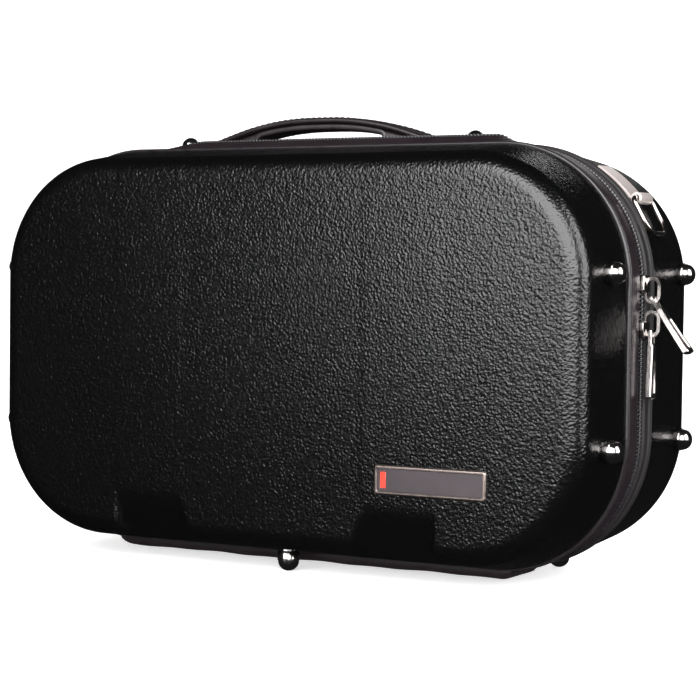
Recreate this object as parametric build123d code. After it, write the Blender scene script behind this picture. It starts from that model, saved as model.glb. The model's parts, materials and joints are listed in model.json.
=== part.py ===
from build123d import *
import math
import os

# Clarinet case: a moulded clamshell that closes with a two-slider zip.
# Millimetres. +X is the end that carries the zip sliders, -Y is the lid side and +Z is up.
# The part is drawn about the middle of its rim outline and is then raised, so that the origin lies
# on the floor, under the middle of the case, in the plane where lid and base part.

# ---- driving dimensions: the whole case ----
case_length = 338.0          # rim outline, along X
case_height = 203.0          # rim outline, along Z
corner_radius = 66.0         # rim outline corners
lid_depth = 55.5             # parting plane to the lid's face
base_depth = 71.0            # parting plane to the base's back face
wall = 2.5                   # moulded shell thickness
roll_over = 10.0             # outer radius between a shell's side wall and its face
lid_draft = 9.5              # degrees, side wall of the lid shell
base_draft = 3.5             # degrees, side wall of the base shell
shell_inset = 0.8            # shell wall at its rim, inside the rim outline

# ---- piping, gusset strips, zip and spine ----
lid_piping_radius = 2.6
lid_piping_y = 16.0          # piping centre from the parting plane
base_piping_radius = 1.6
base_piping_y = 10.5
strip_inset = 1.5            # outer face of the vinyl strips, inside the rim outline
strip_thickness = 1.5
zip_half_width = 3.4         # from the parting plane to the strip's edge
tape_width = 8.0
tape_thickness = 0.7
zip_gap = 0.5                # half the slit between the two chain halves
tooth_pitch = 5.7            # the real coil's is a third of this
tooth_length = 2.4           # across the zip
tooth_width = 1.9            # along the zip
tooth_height = 1.9
spine_half_length = 112.0    # the vinyl hinge strip runs this far each side of the middle
spine_drop = 3.2             # how far the spine stands out below the rim outline
spine_gap = 0.15             # half the fold line between the two spine halves
spine_lap = 3.0              # how far the spine laps over each shell's rim

# ---- moulded flats at the foot of the lid's face ----
flat_outer_x = 90.0
flat_inner_top_x = 51.0
flat_inner_foot_x = 38.0
flat_height = 27.0           # above the bottom of the rim outline
flat_depth = 11.0            # cut into the face at the rim outline's bottom
flat_flank = 8.0             # run of the sloped flank at the foot
flat_outer_flank = 5.0       # the same on the side towards the case's end
flat_top_flank = 0.4         # run of both flanks where the flat fades into the face

# ---- domed studs: feet and handle rivets ----
stud_radius = 5.5
stud_dome = 4.8
foot_stand = 6.0             # tips of the feet underneath, beyond the rim outline
end_foot_stand = 4.5         # tips of the feet on the ends
end_foot_z = 40.0
lid_foot_y = 35.0
base_foot_y = 54.0
base_foot_x = 105.0
rivet_radius = 5.0
rivet_height = 7.0

# ---- handle ----
handle_x = -15.0             # the handle is set off the middle, away from the sliders
handle_y = 24.0
handle_half_length = 94.0
handle_rise = 18.1           # top of the grip above the shell
handle_shoulder_x = 75.0
handle_crown_x = 28.0
handle_shoulder_radius = 38.0
handle_crown_radius = 150.0
strap_thickness = 3.2
strap_width = 22.0
grip_width = 18.0
finger_half_length = 38.0
finger_height = 11.5
finger_corner_radius = 4.0
rivet_x = 84.5

# ---- strap anchors and rings ----
anchor_y = 24.0
anchor_width = 15.0
anchor_thickness = 1.6
anchor_start = 38.0          # degrees up from the X axis, round the corner
anchor_end = 58.0
anchor_slot_angle = 52.0
anchor_slot_length = 6.5
anchor_slot_width = 4.0
knuckle_radius = 2.8
ring_wire = 1.25             # wire radius
ring_width = 23.0            # between wire centres
ring_length = 19.0
ring_top_radius = 3.0
ring_foot_radius = 8.0
ring_lift = 0.45             # clearance of the ring from the shell

# ---- zip sliders and pullers ----
slider_spacing = 21.5        # between the middles of the two sliders
slider_length = 8.0
slider_nose_width = 8.6
slider_tail_width = 6.6
plate_thickness = 1.8
plate_clearance = 0.3
inner_plate = 1.0
post_thickness = 0.5
post_length = 2.6
bail_start = -3.2            # along the slider, from its middle towards its nose
bail_end = 9.2
bail_height = 8.2
bail_wire = 1.5
bail_width = 1.6
puller_length = 31.0
puller_head_width = 4.6
puller_foot_width = 8.4
puller_thickness = 2.8
puller_bar = 1.6             # round bar at its eye
puller_window = 4.6
puller_window_width = 2.2
puller_panel = 0.4
running_gap = 0.3

# ---- name plate, left bare ----
plate_x = 87.5
plate_z = -57.2
plate_length = 57.5
plate_height = 14.0
plate_corner = 1.5
plate_rim = 1.6
plate_stand = 1.6
plate_panel = 1.0
plate_bar = 3.0

# ---- padded interior ----
insert_gap = 0.5             # insert to shell
insert_top = 6.0             # front face of the insert, behind the parting plane
insert_floor = 8.0           # thickness of the board behind the wells
lining = 7.0                 # padded panel inside the lid's face
web = 6.0                    # foam between two wells
joint_well = 42.0            # width of the two long wells
lower_joint_length = 256.0
upper_joint_length = 226.0
bell_well = 82.0             # diameter
bell_x = 104.0
barrel_well_length = 72.0
mouthpiece_well_length = 98.0
short_well = 35.0            # width of the barrel and mouthpiece wells
accessory_well_length = 88.0

# ---- worked out from the above ----
floor_level = case_height / 2 + foot_stand
lid_slope = math.tan(math.radians(lid_draft))
base_slope = math.tan(math.radians(base_draft))
corner_x = case_length / 2 - corner_radius
corner_z = case_height / 2 - corner_radius
upper_slider_z = corner_z    # its nose reaches down from the start of the corner
lower_slider_z = upper_slider_z - slider_spacing
tape_outer_inset = strip_inset + strip_thickness
tape_inner_inset = tape_outer_inset + tape_thickness


def section(y, inset):
    """Rounded outline of the case at depth y, drawn inset from the rim outline."""
    outline = RectangleRounded(
        case_length - 2 * inset, case_height - 2 * inset, corner_radius - inset
    )
    return (Plane.XZ.offset(-y) * outline).face()


def frustum(y_start, inset_start, y_end, inset_end):
    """Solid between two insets of the outline."""
    return loft([section(y_start, inset_start), section(y_end, inset_end)], ruled=True)


def band(y_start, y_end, inset_outer, inset_inner):
    """Closed band that follows the outline."""
    outer = frustum(y_start, inset_outer, y_end, inset_outer)
    return outer - frustum(y_start, inset_inner, y_end, inset_inner)


def lid_inset(y):
    """Inset of the lid's outer wall at depth y (y is negative)."""
    return shell_inset + lid_slope * max(-y - lid_piping_y, 0)


def base_inset(y):
    """Inset of the base's outer wall at depth y."""
    return shell_inset + base_slope * max(y - base_piping_y, 0)


def rounded_form(y_rim, inset_rim, y_face, inset_face, radius):
    """Tapered tray form with the edge of its face rolled over."""
    form = frustum(y_rim, inset_rim, y_face, inset_face)
    far_edges = form.edges().group_by(Axis.Y)[-1 if y_face > y_rim else 0]
    return fillet(far_edges, radius)


def lid_form(offset=0.0):
    """Outer form of the lid shell, or the same form drawn in by an offset."""
    face = -lid_depth + offset
    return rounded_form(
        -lid_piping_y, shell_inset + offset, face, lid_inset(face) + offset, roll_over - offset
    )


def base_form(offset=0.0):
    """Outer form of the base shell, or the same form drawn in by an offset."""
    face = base_depth - offset
    return rounded_form(
        base_piping_y, shell_inset + offset, face, base_inset(face) + offset, roll_over - offset
    )


def piping(y, radius):
    """Round bead sewn round the rim."""
    path = section(y, radius).outer_wire()
    start = Plane(origin=path @ 0, z_dir=path % 0)
    return sweep(start * Circle(radius), path=path)


def flat_cutter(side, setback):
    """Wedge that cuts one moulded flat; setback moves it behind the shell's wall."""
    foot_z = -case_height / 2 - 2
    top_z = -case_height / 2 + flat_height
    face_y = -lid_depth + setback

    def slice_at(z, inner_x, depth, flank, outer_flank):
        points = [
            (side * flat_outer_x, face_y - roll_over),
            (side * inner_x, face_y - roll_over),
            (side * inner_x, face_y),
            (side * (inner_x + flank), face_y + depth),
            (side * (flat_outer_x - outer_flank), face_y + depth),
            (side * flat_outer_x, face_y),
        ]
        return (Plane.XY.offset(z) * Polygon(*points, align=None)).face()

    fade = flat_depth / 200
    top = slice_at(top_z, flat_inner_top_x, fade, flat_top_flank, flat_top_flank)
    foot = slice_at(foot_z, flat_inner_foot_x, flat_depth, flat_flank, flat_outer_flank)
    return loft([top, foot], ruled=True)


def lid_shell():
    """Moulded front tray with the two flats at the foot of its face."""
    outer = lid_form()
    inner = lid_form(wall)
    for side in (-1, 1):
        outer -= flat_cutter(side, 0)
        inner -= flat_cutter(side, wall)
    return outer - inner - piping(-lid_piping_y, lid_piping_radius)


def base_shell():
    """Moulded rear tray."""
    return base_form() - base_form(wall) - piping(base_piping_y, base_piping_radius)


def gusset(side):
    """Vinyl strip between the zip and a shell's piping; side is -1 for the lid."""
    piping_y = lid_piping_y if side < 0 else base_piping_y
    radius = lid_piping_radius if side < 0 else base_piping_radius
    strip = band(side * zip_half_width, side * piping_y, strip_inset, strip_inset + strip_thickness)
    return strip - piping(side * piping_y, radius)


def zip_chain(side):
    """One half of the zip: the tape and its row of teeth, which alternate with the other half's."""
    tape = band(side * zip_gap, side * tape_width, tape_outer_inset, tape_inner_inset)
    spine_slot = Box(2 * spine_half_length, 3 * tape_width, case_height)
    tape -= Pos(0, 0, -case_height / 2) * spine_slot
    run = section(0, tape_outer_inset).outer_wire()
    stagger = 0.25 if side < 0 else 0.75
    count = int(run.length / tooth_pitch)
    tooth = Box(tooth_width, tooth_length, tooth_height + tape_thickness / 2)
    teeth = []
    for index in range(count):
        along = (index + stagger) / count
        point = run.position_at(along)
        if point.Z < 0 and abs(point.X) < spine_half_length + tooth_width:
            continue
        ahead = run.tangent_at(along)
        outward = Vector(0, 1, 0).cross(ahead)
        if outward.dot(point) < 0:
            outward = -outward
        seat = Plane(origin=point, x_dir=ahead, z_dir=outward)
        across = seat.y_dir.Y * side * (zip_gap + tooth_length / 2)
        teeth.append(seat * Pos(0, across, tooth_height / 2 - tape_thickness / 4) * tooth)
    return tape + teeth


def spine(side):
    """Half of the vinyl hinge strip under the case, from the fold line to a shell's rim."""
    reach = (lid_piping_y if side < 0 else base_piping_y) + spine_lap
    height = spine_drop + strip_inset
    depth = reach - spine_gap
    block = Box(2 * spine_half_length, depth, height)
    centre = Pos(0, side * (spine_gap + depth / 2), -case_height / 2 - spine_drop + height / 2)
    block = centre * block
    far_edge = block.edges().filter_by(Axis.X).group_by(Axis.Z)[0].sort_by(Axis.Y)[0 if side < 0 else -1]
    end_edges = block.edges().filter_by(Axis.Y).group_by(Axis.Z)[0]
    block = fillet([far_edge, *end_edges], spine_drop)
    piping_y = lid_piping_y if side < 0 else base_piping_y
    radius = lid_piping_radius if side < 0 else base_piping_radius
    form = lid_form() if side < 0 else base_form()
    return block - piping(side * piping_y, radius) - form


def stud(radius, dome, tip, root):
    """Domed stud along local Z, from its hidden root to its tip."""
    pin = Pos(0, 0, (tip + root) / 2) * Cylinder(radius, tip - root)
    return fillet(pin.edges().sort_by(Axis.Z)[-1], min(dome, radius * 0.9))


def foot(place, stand, form):
    """Domed foot whose tip stands beyond the rim outline, seated on a shell's wall."""
    return place * stud(stud_radius, stud_dome, stand, -2 * roll_over) - form


def end_place(end, y, z):
    """Plane on the rim outline's end face, facing outwards."""
    return Plane(origin=(end * case_length / 2, y, z), z_dir=(end, 0, 0))


def under_place(x, y):
    """Plane on the bottom of the rim outline, facing down."""
    return Plane(origin=(x, y, -case_height / 2), z_dir=(0, 0, -1))


def handle_top(lowered):
    """Area under the handle's back, drawn lowered by some amount."""
    tab = strap_thickness - lowered
    crown = handle_rise - lowered
    half = handle_half_length
    back = FilletPolyline(
        (-half, tab),
        (-handle_shoulder_x, tab),
        (-handle_crown_x, crown),
        (handle_crown_x, crown),
        (handle_shoulder_x, tab),
        (half, tab),
        radius=[handle_shoulder_radius, handle_crown_radius, handle_crown_radius, handle_shoulder_radius],
    )
    skirt = Polyline((half, tab), (half, -roll_over), (-half, -roll_over), (-half, tab))
    return make_face(back.edges() + skirt.edges())


def handle_place():
    """Plane through the handle's middle, on the base shell's top wall."""
    top_z = case_height / 2 - base_inset(handle_y)
    return Plane(origin=(handle_x, handle_y, top_z), x_dir=(1, 0, 0), z_dir=(0, -1, 0))


def handle_strap(form):
    """Vinyl strap that runs over the grip from tab to tab."""
    profile = handle_top(0) - handle_top(strap_thickness)
    solid = extrude(handle_place() * profile, strap_width / 2, both=True)
    return solid - form


def handle_grip(form):
    """Padded grip under the strap, with a finger gap below it that follows the strap's curve."""
    window = Rectangle(2 * finger_half_length, handle_rise, align=(Align.CENTER, Align.MIN))
    gap = handle_top(handle_rise - finger_height) & window
    upper_corners = gap.vertices().group_by(Axis.Y)[1]
    gap = fillet(upper_corners, finger_corner_radius)
    below = Pos(0, -roll_over) * Rectangle(4 * handle_half_length, 2 * roll_over)
    profile = handle_top(strap_thickness) - gap - below
    solid = extrude(handle_place() * profile, grip_width / 2, both=True)
    return solid - form


def handle_rivet(end):
    """Domed rivet through a tab of the strap."""
    seat = Plane(handle_place().origin, z_dir=(0, 0, 1))
    head = stud(rivet_radius, stud_dome, rivet_height, 0)
    return seat * Pos(end * rivet_x, 0, strap_thickness) * head


def corner_place(y):
    """Plane whose origin is the axis of the upper right corner, seen from the front."""
    return Plane(origin=(corner_x, y, corner_z), x_dir=(1, 0, 0), z_dir=(0, -1, 0))


def ring_axis_radius():
    """Distance of the ring's hinge axis from the corner's axis."""
    near_arm = anchor_y - ring_width / 2
    shell_radius = corner_radius - base_inset(near_arm)
    sagitta = ring_length**2 / (8 * corner_radius)
    return shell_radius + ring_wire + ring_lift + sagitta


def strap_anchor(form):
    """Curved plate on the corner with a slot and a rolled knuckle for the ring's bar."""
    outer = corner_radius - base_inset(anchor_y) + anchor_thickness
    inner = outer - 3 * anchor_thickness
    sweep_angle = anchor_end - anchor_start
    outer_arc = CenterArc((0, 0), outer, anchor_start, sweep_angle)
    inner_arc = CenterArc((0, 0), inner, anchor_start, sweep_angle)
    sides = [Line(outer_arc @ 1, inner_arc @ 1), Line(inner_arc @ 0, outer_arc @ 0)]
    profile = make_face([outer_arc, inner_arc] + sides)
    place = corner_place(anchor_y)
    plate = extrude(place * profile, anchor_width / 2, both=True)
    slot_depth = Pos(0, 0, outer) * extrude(
        SlotOverall(anchor_slot_length, anchor_slot_width), 3 * anchor_thickness, both=True
    )
    tilt = Plane(origin=(corner_x, anchor_y, corner_z), x_dir=(0, 1, 0), z_dir=(1, 0, 0))
    plate -= tilt * Rot(anchor_slot_angle, 0, 0) * Rot(0, 0, 90) * slot_depth
    knuckle = extrude(place * knuckle_centre() * Circle(knuckle_radius), anchor_width / 2, both=True)
    bore = extrude(place * knuckle_centre() * Circle(ring_wire + running_gap), anchor_width, both=True)
    return plate + knuckle - bore - form


def knuckle_centre():
    """Place of the ring's hinge axis in the corner plane."""
    reach = ring_axis_radius()
    angle = math.radians(anchor_start - math.degrees(knuckle_radius * 0.6 / reach))
    return Pos(reach * math.cos(angle), reach * math.sin(angle))


def strap_ring():
    """Wire ring that lies against the corner, with its bar in the knuckle."""
    reach = ring_axis_radius()
    hinge = knuckle_centre().position
    start_angle = math.atan2(hinge.Y, hinge.X)
    end_angle = start_angle - 2 * math.asin(ring_length / (2 * reach))
    foot_x = reach * math.cos(end_angle)
    foot_y = reach * math.sin(end_angle)
    place = corner_place(anchor_y)
    origin = place.from_local_coords(Vector(hinge.X, hinge.Y, 0))
    end = place.from_local_coords(Vector(foot_x, foot_y, 0))
    along = (end - origin).normalized()
    flat = Plane(origin=origin, x_dir=(0, 1, 0), z_dir=along.cross(Vector(0, 1, 0)))
    half = ring_width / 2
    drop = flat.to_local_coords(end).Y
    corners = [(-half, 0), (half, 0), (half, drop), (-half, drop)]
    radii = [ring_top_radius, ring_top_radius, ring_foot_radius, ring_foot_radius]
    path = flat * FilletPolyline(*corners, radius=radii, close=True)
    path = Wire(path.edges())
    start = Plane(origin=path @ 0, z_dir=path % 0)
    return sweep(start * Circle(ring_wire), path=path)


def slider_place(z, towards):
    """Plane on the end of the rim outline, X towards the slider's nose and Z outwards."""
    return Plane(origin=(case_length / 2, 0, z), x_dir=(0, 0, towards), z_dir=(1, 0, 0))


def slider():
    """Zip slider: two plates joined by the dividing post, with a bail on top."""
    half = slider_length / 2
    plan = Polygon(
        (-half, -slider_tail_width / 2),
        (0, -slider_nose_width / 2),
        (half, -slider_nose_width / 2),
        (half, slider_nose_width / 2),
        (0, slider_nose_width / 2),
        (-half, slider_tail_width / 2),
        align=None,
    )
    plan = fillet(plan.vertices(), 1.0)
    chain_top = -tape_outer_inset + tooth_height
    chain_bottom = -tape_inner_inset
    plate_bottom = chain_top + plate_clearance
    plate_top = plate_bottom + plate_thickness
    outer = Pos(0, 0, plate_bottom) * extrude(plan, plate_thickness)
    outer = fillet(outer.edges().group_by(Axis.Z)[-1], 0.6)
    inner = Pos(0, 0, chain_bottom - plate_clearance - inner_plate) * extrude(plan, inner_plate)
    post_height = plate_bottom - (chain_bottom - plate_clearance)
    post = Box(post_length, post_thickness, post_height + 0.4)
    post = Pos(half - 0.4 - post_length / 2, 0, plate_bottom - post_height / 2) * post
    bail_length = bail_end - bail_start
    loop = SlotOverall(bail_length, bail_height) - SlotOverall(
        bail_length - 2 * bail_wire, bail_height - 2 * bail_wire
    )
    middle = ((bail_start + bail_end) / 2, 0, bail_axis_height())
    bail = extrude(Plane(origin=middle, x_dir=(1, 0, 0), z_dir=(0, -1, 0)) * loop, bail_width / 2, both=True)
    return outer + inner + post + bail


def bail_axis_height():
    """Middle of the bail's loop above the rim outline."""
    plate_top = -tape_outer_inset + tooth_height + plate_clearance + plate_thickness
    return plate_top - bail_wire + bail_height / 2


def puller():
    """Zip puller along local X from its eye bar, widening to its foot, with a blank panel each side."""
    body_start = puller_bar / 2 + puller_window
    head = Pos((body_start + 1) / 2, 0, 0) * Box(body_start + 1, puller_head_width, puller_bar)
    bar = Rot(90, 0, 0) * Cylinder(puller_bar / 2, puller_head_width)
    window = Pos(body_start / 2, 0, 0) * Box(body_start, puller_window_width, 2 * puller_thickness)
    half_thickness = puller_thickness / 2
    blade = Polygon(
        (body_start, -puller_head_width / 2),
        (puller_length, -puller_foot_width / 2),
        (puller_length, puller_foot_width / 2),
        (body_start, puller_head_width / 2),
        align=None,
    )
    blade = fillet(blade.vertices(), 1.2)
    body = extrude(blade, half_thickness, both=True)
    body = chamfer(body.faces().filter_by(Axis.Z).edges(), 0.4)
    panel_length = (puller_length - body_start) * 0.62
    panel = Box(panel_length, puller_head_width * 0.62, puller_panel * 2)
    panel_x = puller_length - 2.6 - panel_length / 2
    for face in (-1, 1):
        body -= Pos(panel_x, 0, face * half_thickness) * panel
    return head + body - window + bar


def puller_axis_x(at_nose):
    """Where the puller's eye bar lies along the slider, just inside one end of the bail."""
    inside = bail_wire + running_gap + puller_bar / 2
    return bail_end - inside if at_nose else bail_start + inside


def upper_puller_place():
    """Upper puller: it leans on the lower slider's bail, and its lean follows from that."""
    axis_z = upper_slider_z - puller_axis_x(True)
    bail_radius = bail_height / 2
    prop_z = lower_slider_z + bail_end - bail_radius
    reach = bail_radius + puller_thickness / 2 + running_gap
    lean = math.asin(min(reach / (axis_z - prop_z), 1))
    origin = (case_length / 2 + bail_axis_height(), 0, axis_z)
    along = (math.sin(lean), 0, -math.cos(lean))
    return Plane(origin=origin, x_dir=along, z_dir=(math.cos(lean), 0, math.sin(lean)))


def lower_puller_place():
    """Lower puller: it hangs straight down from the lower end of its bail."""
    axis_z = lower_slider_z + puller_axis_x(False)
    origin = (case_length / 2 + bail_axis_height(), 0, axis_z)
    return Plane(origin=origin, x_dir=(0, 0, -1), z_dir=(1, 0, 0))


def on_face(shape, lift):
    """Put a flat outline on the lid's face at the name plate, lifted off it."""
    return Plane(origin=(plate_x, -lid_depth - lift, plate_z), x_dir=(1, 0, 0), z_dir=(0, -1, 0)) * shape


def name_plate_rim():
    """Bevelled metal frame of the name plate."""
    outline = RectangleRounded(plate_length, plate_height, plate_corner)
    window = RectangleRounded(plate_length - 2 * plate_rim, plate_height - 2 * plate_rim, plate_corner / 2)
    frame = extrude(on_face(outline, 0), plate_stand)
    frame = chamfer(frame.edges().group_by(Axis.Y)[0], 0.6)
    return frame - extrude(on_face(window, 0), plate_stand)


def name_plate_panel():
    """Bare panel inside the frame."""
    window = RectangleRounded(plate_length - 2 * plate_rim, plate_height - 2 * plate_rim, plate_corner / 2)
    return extrude(on_face(window, 0), plate_panel) - extrude(on_face(name_bar(), 0), plate_stand)


def name_bar():
    """Plain coloured bar at the left of the panel."""
    return Pos(-plate_length / 2 + 2 * plate_rim + plate_bar / 2, 0) * Rectangle(
        plate_bar, plate_height - 4 * plate_rim
    )


def name_plate_bar():
    """Enamel bar set in the panel."""
    return extrude(on_face(name_bar(), 0), plate_panel + 0.15)


def insert_wells():
    """Outlines of the wells, each for one piece of the instrument, with its middle and size."""
    row_z = bell_well / 2 + web + joint_well / 2
    left = bell_x - bell_well / 2 - web
    short_z = bell_well / 2 - short_well / 2
    wells = {
        "lower_joint": Pos(0, row_z) * SlotOverall(lower_joint_length, joint_well),
        "upper_joint": Pos(0, -row_z) * SlotOverall(upper_joint_length, joint_well),
        "bell": Pos(bell_x, 0) * Circle(bell_well / 2),
        "mouthpiece": Pos(left - mouthpiece_well_length / 2, short_z)
        * RectangleRounded(mouthpiece_well_length, short_well, web),
        "barrel": Pos(left - barrel_well_length / 2, -short_z)
        * RectangleRounded(barrel_well_length, short_well, web),
        "accessory": Pos(left - mouthpiece_well_length - web - accessory_well_length / 2, 0)
        * RectangleRounded(accessory_well_length, bell_well - web, web),
    }
    return wells


def insert_back():
    """Depth of the joint between the insert block and the board behind it."""
    return base_depth - wall - insert_floor


def insert_block():
    """Foam block with its wells, shaped to the tapered tray."""
    back = insert_back()
    side = wall + insert_gap
    slider_inset = tape_inner_inset + inner_plate + 3 * plate_clearance + web / 2
    rim_inset = max(base_inset(insert_top) + side, slider_inset)
    block = frustum(insert_top, rim_inset, back, base_inset(back) + side)
    for outline in insert_wells().values():
        well = extrude(Plane.XZ.offset(-insert_top) * outline, -base_depth)
        block -= well
    return block


def insert_board():
    """Lined board that closes the wells at the back."""
    inset = base_inset(base_depth) + roll_over + insert_gap
    return frustum(insert_back(), inset, base_depth - wall, inset)


def lid_lining():
    """Padded panel on the inside of the lid's face, clear of the moulded flats."""
    inset = lid_inset(-lid_depth) + roll_over + insert_gap
    face = -lid_depth + wall
    panel = frustum(face, inset, face + lining, inset)
    for side in (-1, 1):
        panel -= flat_cutter(side, wall + insert_gap)
    return panel


def save(shape, name):
    """Raise a piece onto its feet and write it as one STEP file."""
    export_step(Pos(0, 0, floor_level) * shape, f"parts/{name}.step")


def build_base():
    """Write every piece of the base."""
    form = base_form()
    save(base_shell(), "base_shell")
    save(piping(base_piping_y, base_piping_radius), "base_piping")
    save(gusset(1), "base_gusset")
    save(zip_chain(1), "base_zip_chain")
    save(spine(1), "base_spine")
    save(insert_block(), "insert_block")
    save(insert_board(), "insert_board")
    save(handle_strap(form), "handle_strap")
    save(handle_grip(form), "handle_grip")
    for end, side in ((-1, "left"), (1, "right")):
        save(handle_rivet(end), f"handle_rivet_{side}")
        save(foot(end_place(end, base_foot_y, end_foot_z), end_foot_stand, form), f"base_foot_{side}_upper")
        save(foot(end_place(end, base_foot_y, -end_foot_z), end_foot_stand, form), f"base_foot_{side}_lower")
        save(foot(under_place(end * base_foot_x, base_foot_y), foot_stand, form), f"base_foot_under_{side}")
    anchor = strap_anchor(form)
    save(anchor, "strap_anchor_right")
    save(mirror(anchor, Plane.YZ), "strap_anchor_left")


def build_lid():
    """Write every piece of the lid."""
    form = lid_form()
    save(lid_shell(), "lid_shell")
    save(piping(-lid_piping_y, lid_piping_radius), "lid_piping")
    save(gusset(-1), "lid_gusset")
    save(zip_chain(-1), "lid_zip_chain")
    save(spine(-1), "lid_spine")
    save(lid_lining(), "lid_lining")
    save(name_plate_rim(), "name_plate_rim")
    save(name_plate_panel(), "name_plate_panel")
    save(name_plate_bar(), "name_plate_bar")
    for end, side in ((-1, "left"), (1, "right")):
        save(foot(end_place(end, -lid_foot_y, end_foot_z), end_foot_stand, form), f"lid_foot_{side}_upper")
        save(foot(end_place(end, -lid_foot_y, -end_foot_z), end_foot_stand, form), f"lid_foot_{side}_lower")
    save(foot(under_place(0, -lid_foot_y), foot_stand, form), "lid_foot_under")


def build_hardware():
    """Write the loose hardware: sliders, pullers and strap rings."""
    save(slider_place(upper_slider_z, -1) * slider(), "slider_upper")
    save(slider_place(lower_slider_z, 1) * slider(), "slider_lower")
    save(upper_puller_place() * puller(), "puller_upper")
    save(lower_puller_place() * puller(), "puller_lower")
    ring = strap_ring()
    save(ring, "strap_ring_right")
    save(mirror(ring, Plane.YZ), "strap_ring_left")


os.makedirs("parts", exist_ok=True)
build_base()
build_lid()
build_hardware()
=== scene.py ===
"""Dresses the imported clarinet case: moulded shells, vinyl trim, coil zip, chrome hardware, plush interior.

Lengths are in metres, written as millimetres times MM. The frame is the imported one: X runs along the case,
Y from the lid's face to the base's back, and Z up from the floor that its feet stand on.
"""

import json
import logging
import math
from dataclasses import dataclass
from enum import Enum

import bmesh
import bpy
import numpy as np
from mathutils import Matrix, Vector


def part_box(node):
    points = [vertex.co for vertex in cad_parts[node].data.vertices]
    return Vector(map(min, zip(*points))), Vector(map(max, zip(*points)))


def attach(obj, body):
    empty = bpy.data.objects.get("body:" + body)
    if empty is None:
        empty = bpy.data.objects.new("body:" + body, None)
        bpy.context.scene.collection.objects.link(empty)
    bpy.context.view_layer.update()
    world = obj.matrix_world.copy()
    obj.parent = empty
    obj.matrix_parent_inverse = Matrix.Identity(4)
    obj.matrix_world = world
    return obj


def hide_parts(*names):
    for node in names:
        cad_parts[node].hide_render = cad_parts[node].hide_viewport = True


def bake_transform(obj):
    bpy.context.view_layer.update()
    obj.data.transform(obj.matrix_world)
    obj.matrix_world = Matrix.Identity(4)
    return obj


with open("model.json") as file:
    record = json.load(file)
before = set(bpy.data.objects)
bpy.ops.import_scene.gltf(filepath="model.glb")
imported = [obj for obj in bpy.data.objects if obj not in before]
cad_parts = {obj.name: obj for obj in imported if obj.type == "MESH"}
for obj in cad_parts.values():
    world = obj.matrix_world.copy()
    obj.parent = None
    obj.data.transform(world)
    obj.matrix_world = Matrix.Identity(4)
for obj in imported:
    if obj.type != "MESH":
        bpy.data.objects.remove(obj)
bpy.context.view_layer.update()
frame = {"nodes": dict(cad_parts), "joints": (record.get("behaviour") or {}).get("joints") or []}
log = logging.getLogger("case")

MM = 0.001
WELD = 2e-6                      # points closer than this are one
BROAD = 12 * MM * MM             # cast faces larger than this are shaded flat
Colour = tuple[float, float, float, float]
Place = tuple[float, float, float]


class Side(Enum):
    """Which half a piece belongs to; the value is the sign of Y."""

    LID = -1
    BASE = 1

    @property
    def body(self) -> str:
        """Name of the body that this half is."""
        return "lid" if self is Side.LID else "base"


# ---------------------------------------------------------------- mesh helpers

def linear(code: str) -> Colour:
    """Turn an sRGB hex colour into linear RGBA.

    Formula: below 0.04045 divide by 12.92, above it ((c + 0.055) / 1.055) to the power 2.4.

    Args:
        code: six hex digits.
    Returns:
        Linear red, green, blue and 1.
    """
    values = [int(code[i:i + 2], 16) / 255 for i in (0, 2, 4)]
    low = [c / 12.92 if c <= 0.04045 else ((c + 0.055) / 1.055) ** 2.4 for c in values]
    return (low[0], low[1], low[2], 1.0)


def mesh_from(name: str, points: np.ndarray, quads: np.ndarray, weld: bool = True,
              sharp: float = 40) -> bpy.types.Object:
    """Make a smooth-shaded object from points and faces.

    Args:
        name: object name.
        points: n by 3 places in metres.
        quads: m by 4 or m by 3 point numbers.
        weld: merge doubles and turn the faces outwards.
        sharp: edges over this angle in degrees stay crisp.
    Returns:
        The linked object.
    """
    mesh = bpy.data.meshes.new(name)
    mesh.from_pydata(points.reshape(-1, 3).tolist(), [], quads.tolist())
    thing = bpy.data.objects.new(name, mesh)
    bpy.context.scene.collection.objects.link(thing)
    if weld:
        work = bmesh.new()
        work.from_mesh(mesh)
        bmesh.ops.remove_doubles(work, verts=work.verts, dist=WELD)
        bmesh.ops.dissolve_degenerate(work, edges=work.edges, dist=1e-7)
        bmesh.ops.recalc_face_normals(work, faces=work.faces)
        work.to_mesh(mesh)
        work.free()
    mesh.shade_smooth()
    mesh.set_sharp_from_angle(angle=math.radians(sharp))
    return thing


def grid_quads(rows: int, columns: int, wrap_rows: bool = False, wrap_columns: bool = False) -> np.ndarray:
    """Faces of a grid of points.

    Formula: each face joins a point, its neighbour along the row and the two points of the next row.

    Args:
        rows: number of rows.
        columns: number of points in a row.
        wrap_rows: join the last row to the first.
        wrap_columns: join each row's end to its start.
    Returns:
        m by 4 point numbers.
    """
    r = np.arange(rows if wrap_rows else rows - 1)
    c = np.arange(columns if wrap_columns else columns - 1)
    r, c = np.meshgrid(r, c, indexing="ij")
    r2, c2 = (r + 1) % rows, (c + 1) % columns
    corners = [r * columns + c, r * columns + c2, r2 * columns + c2, r2 * columns + c]
    return np.stack([k.ravel() for k in corners], axis=1)


def sheet_mesh(name: str, points: np.ndarray, wrap_rows: bool = False, wrap_columns: bool = False,
               sharp: float = 40) -> bpy.types.Object:
    """Make an object from a rows by columns by 3 grid of points (see grid_quads and mesh_from)."""
    return mesh_from(name, points, grid_quads(*points.shape[:2], wrap_rows, wrap_columns), sharp=sharp)


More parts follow.
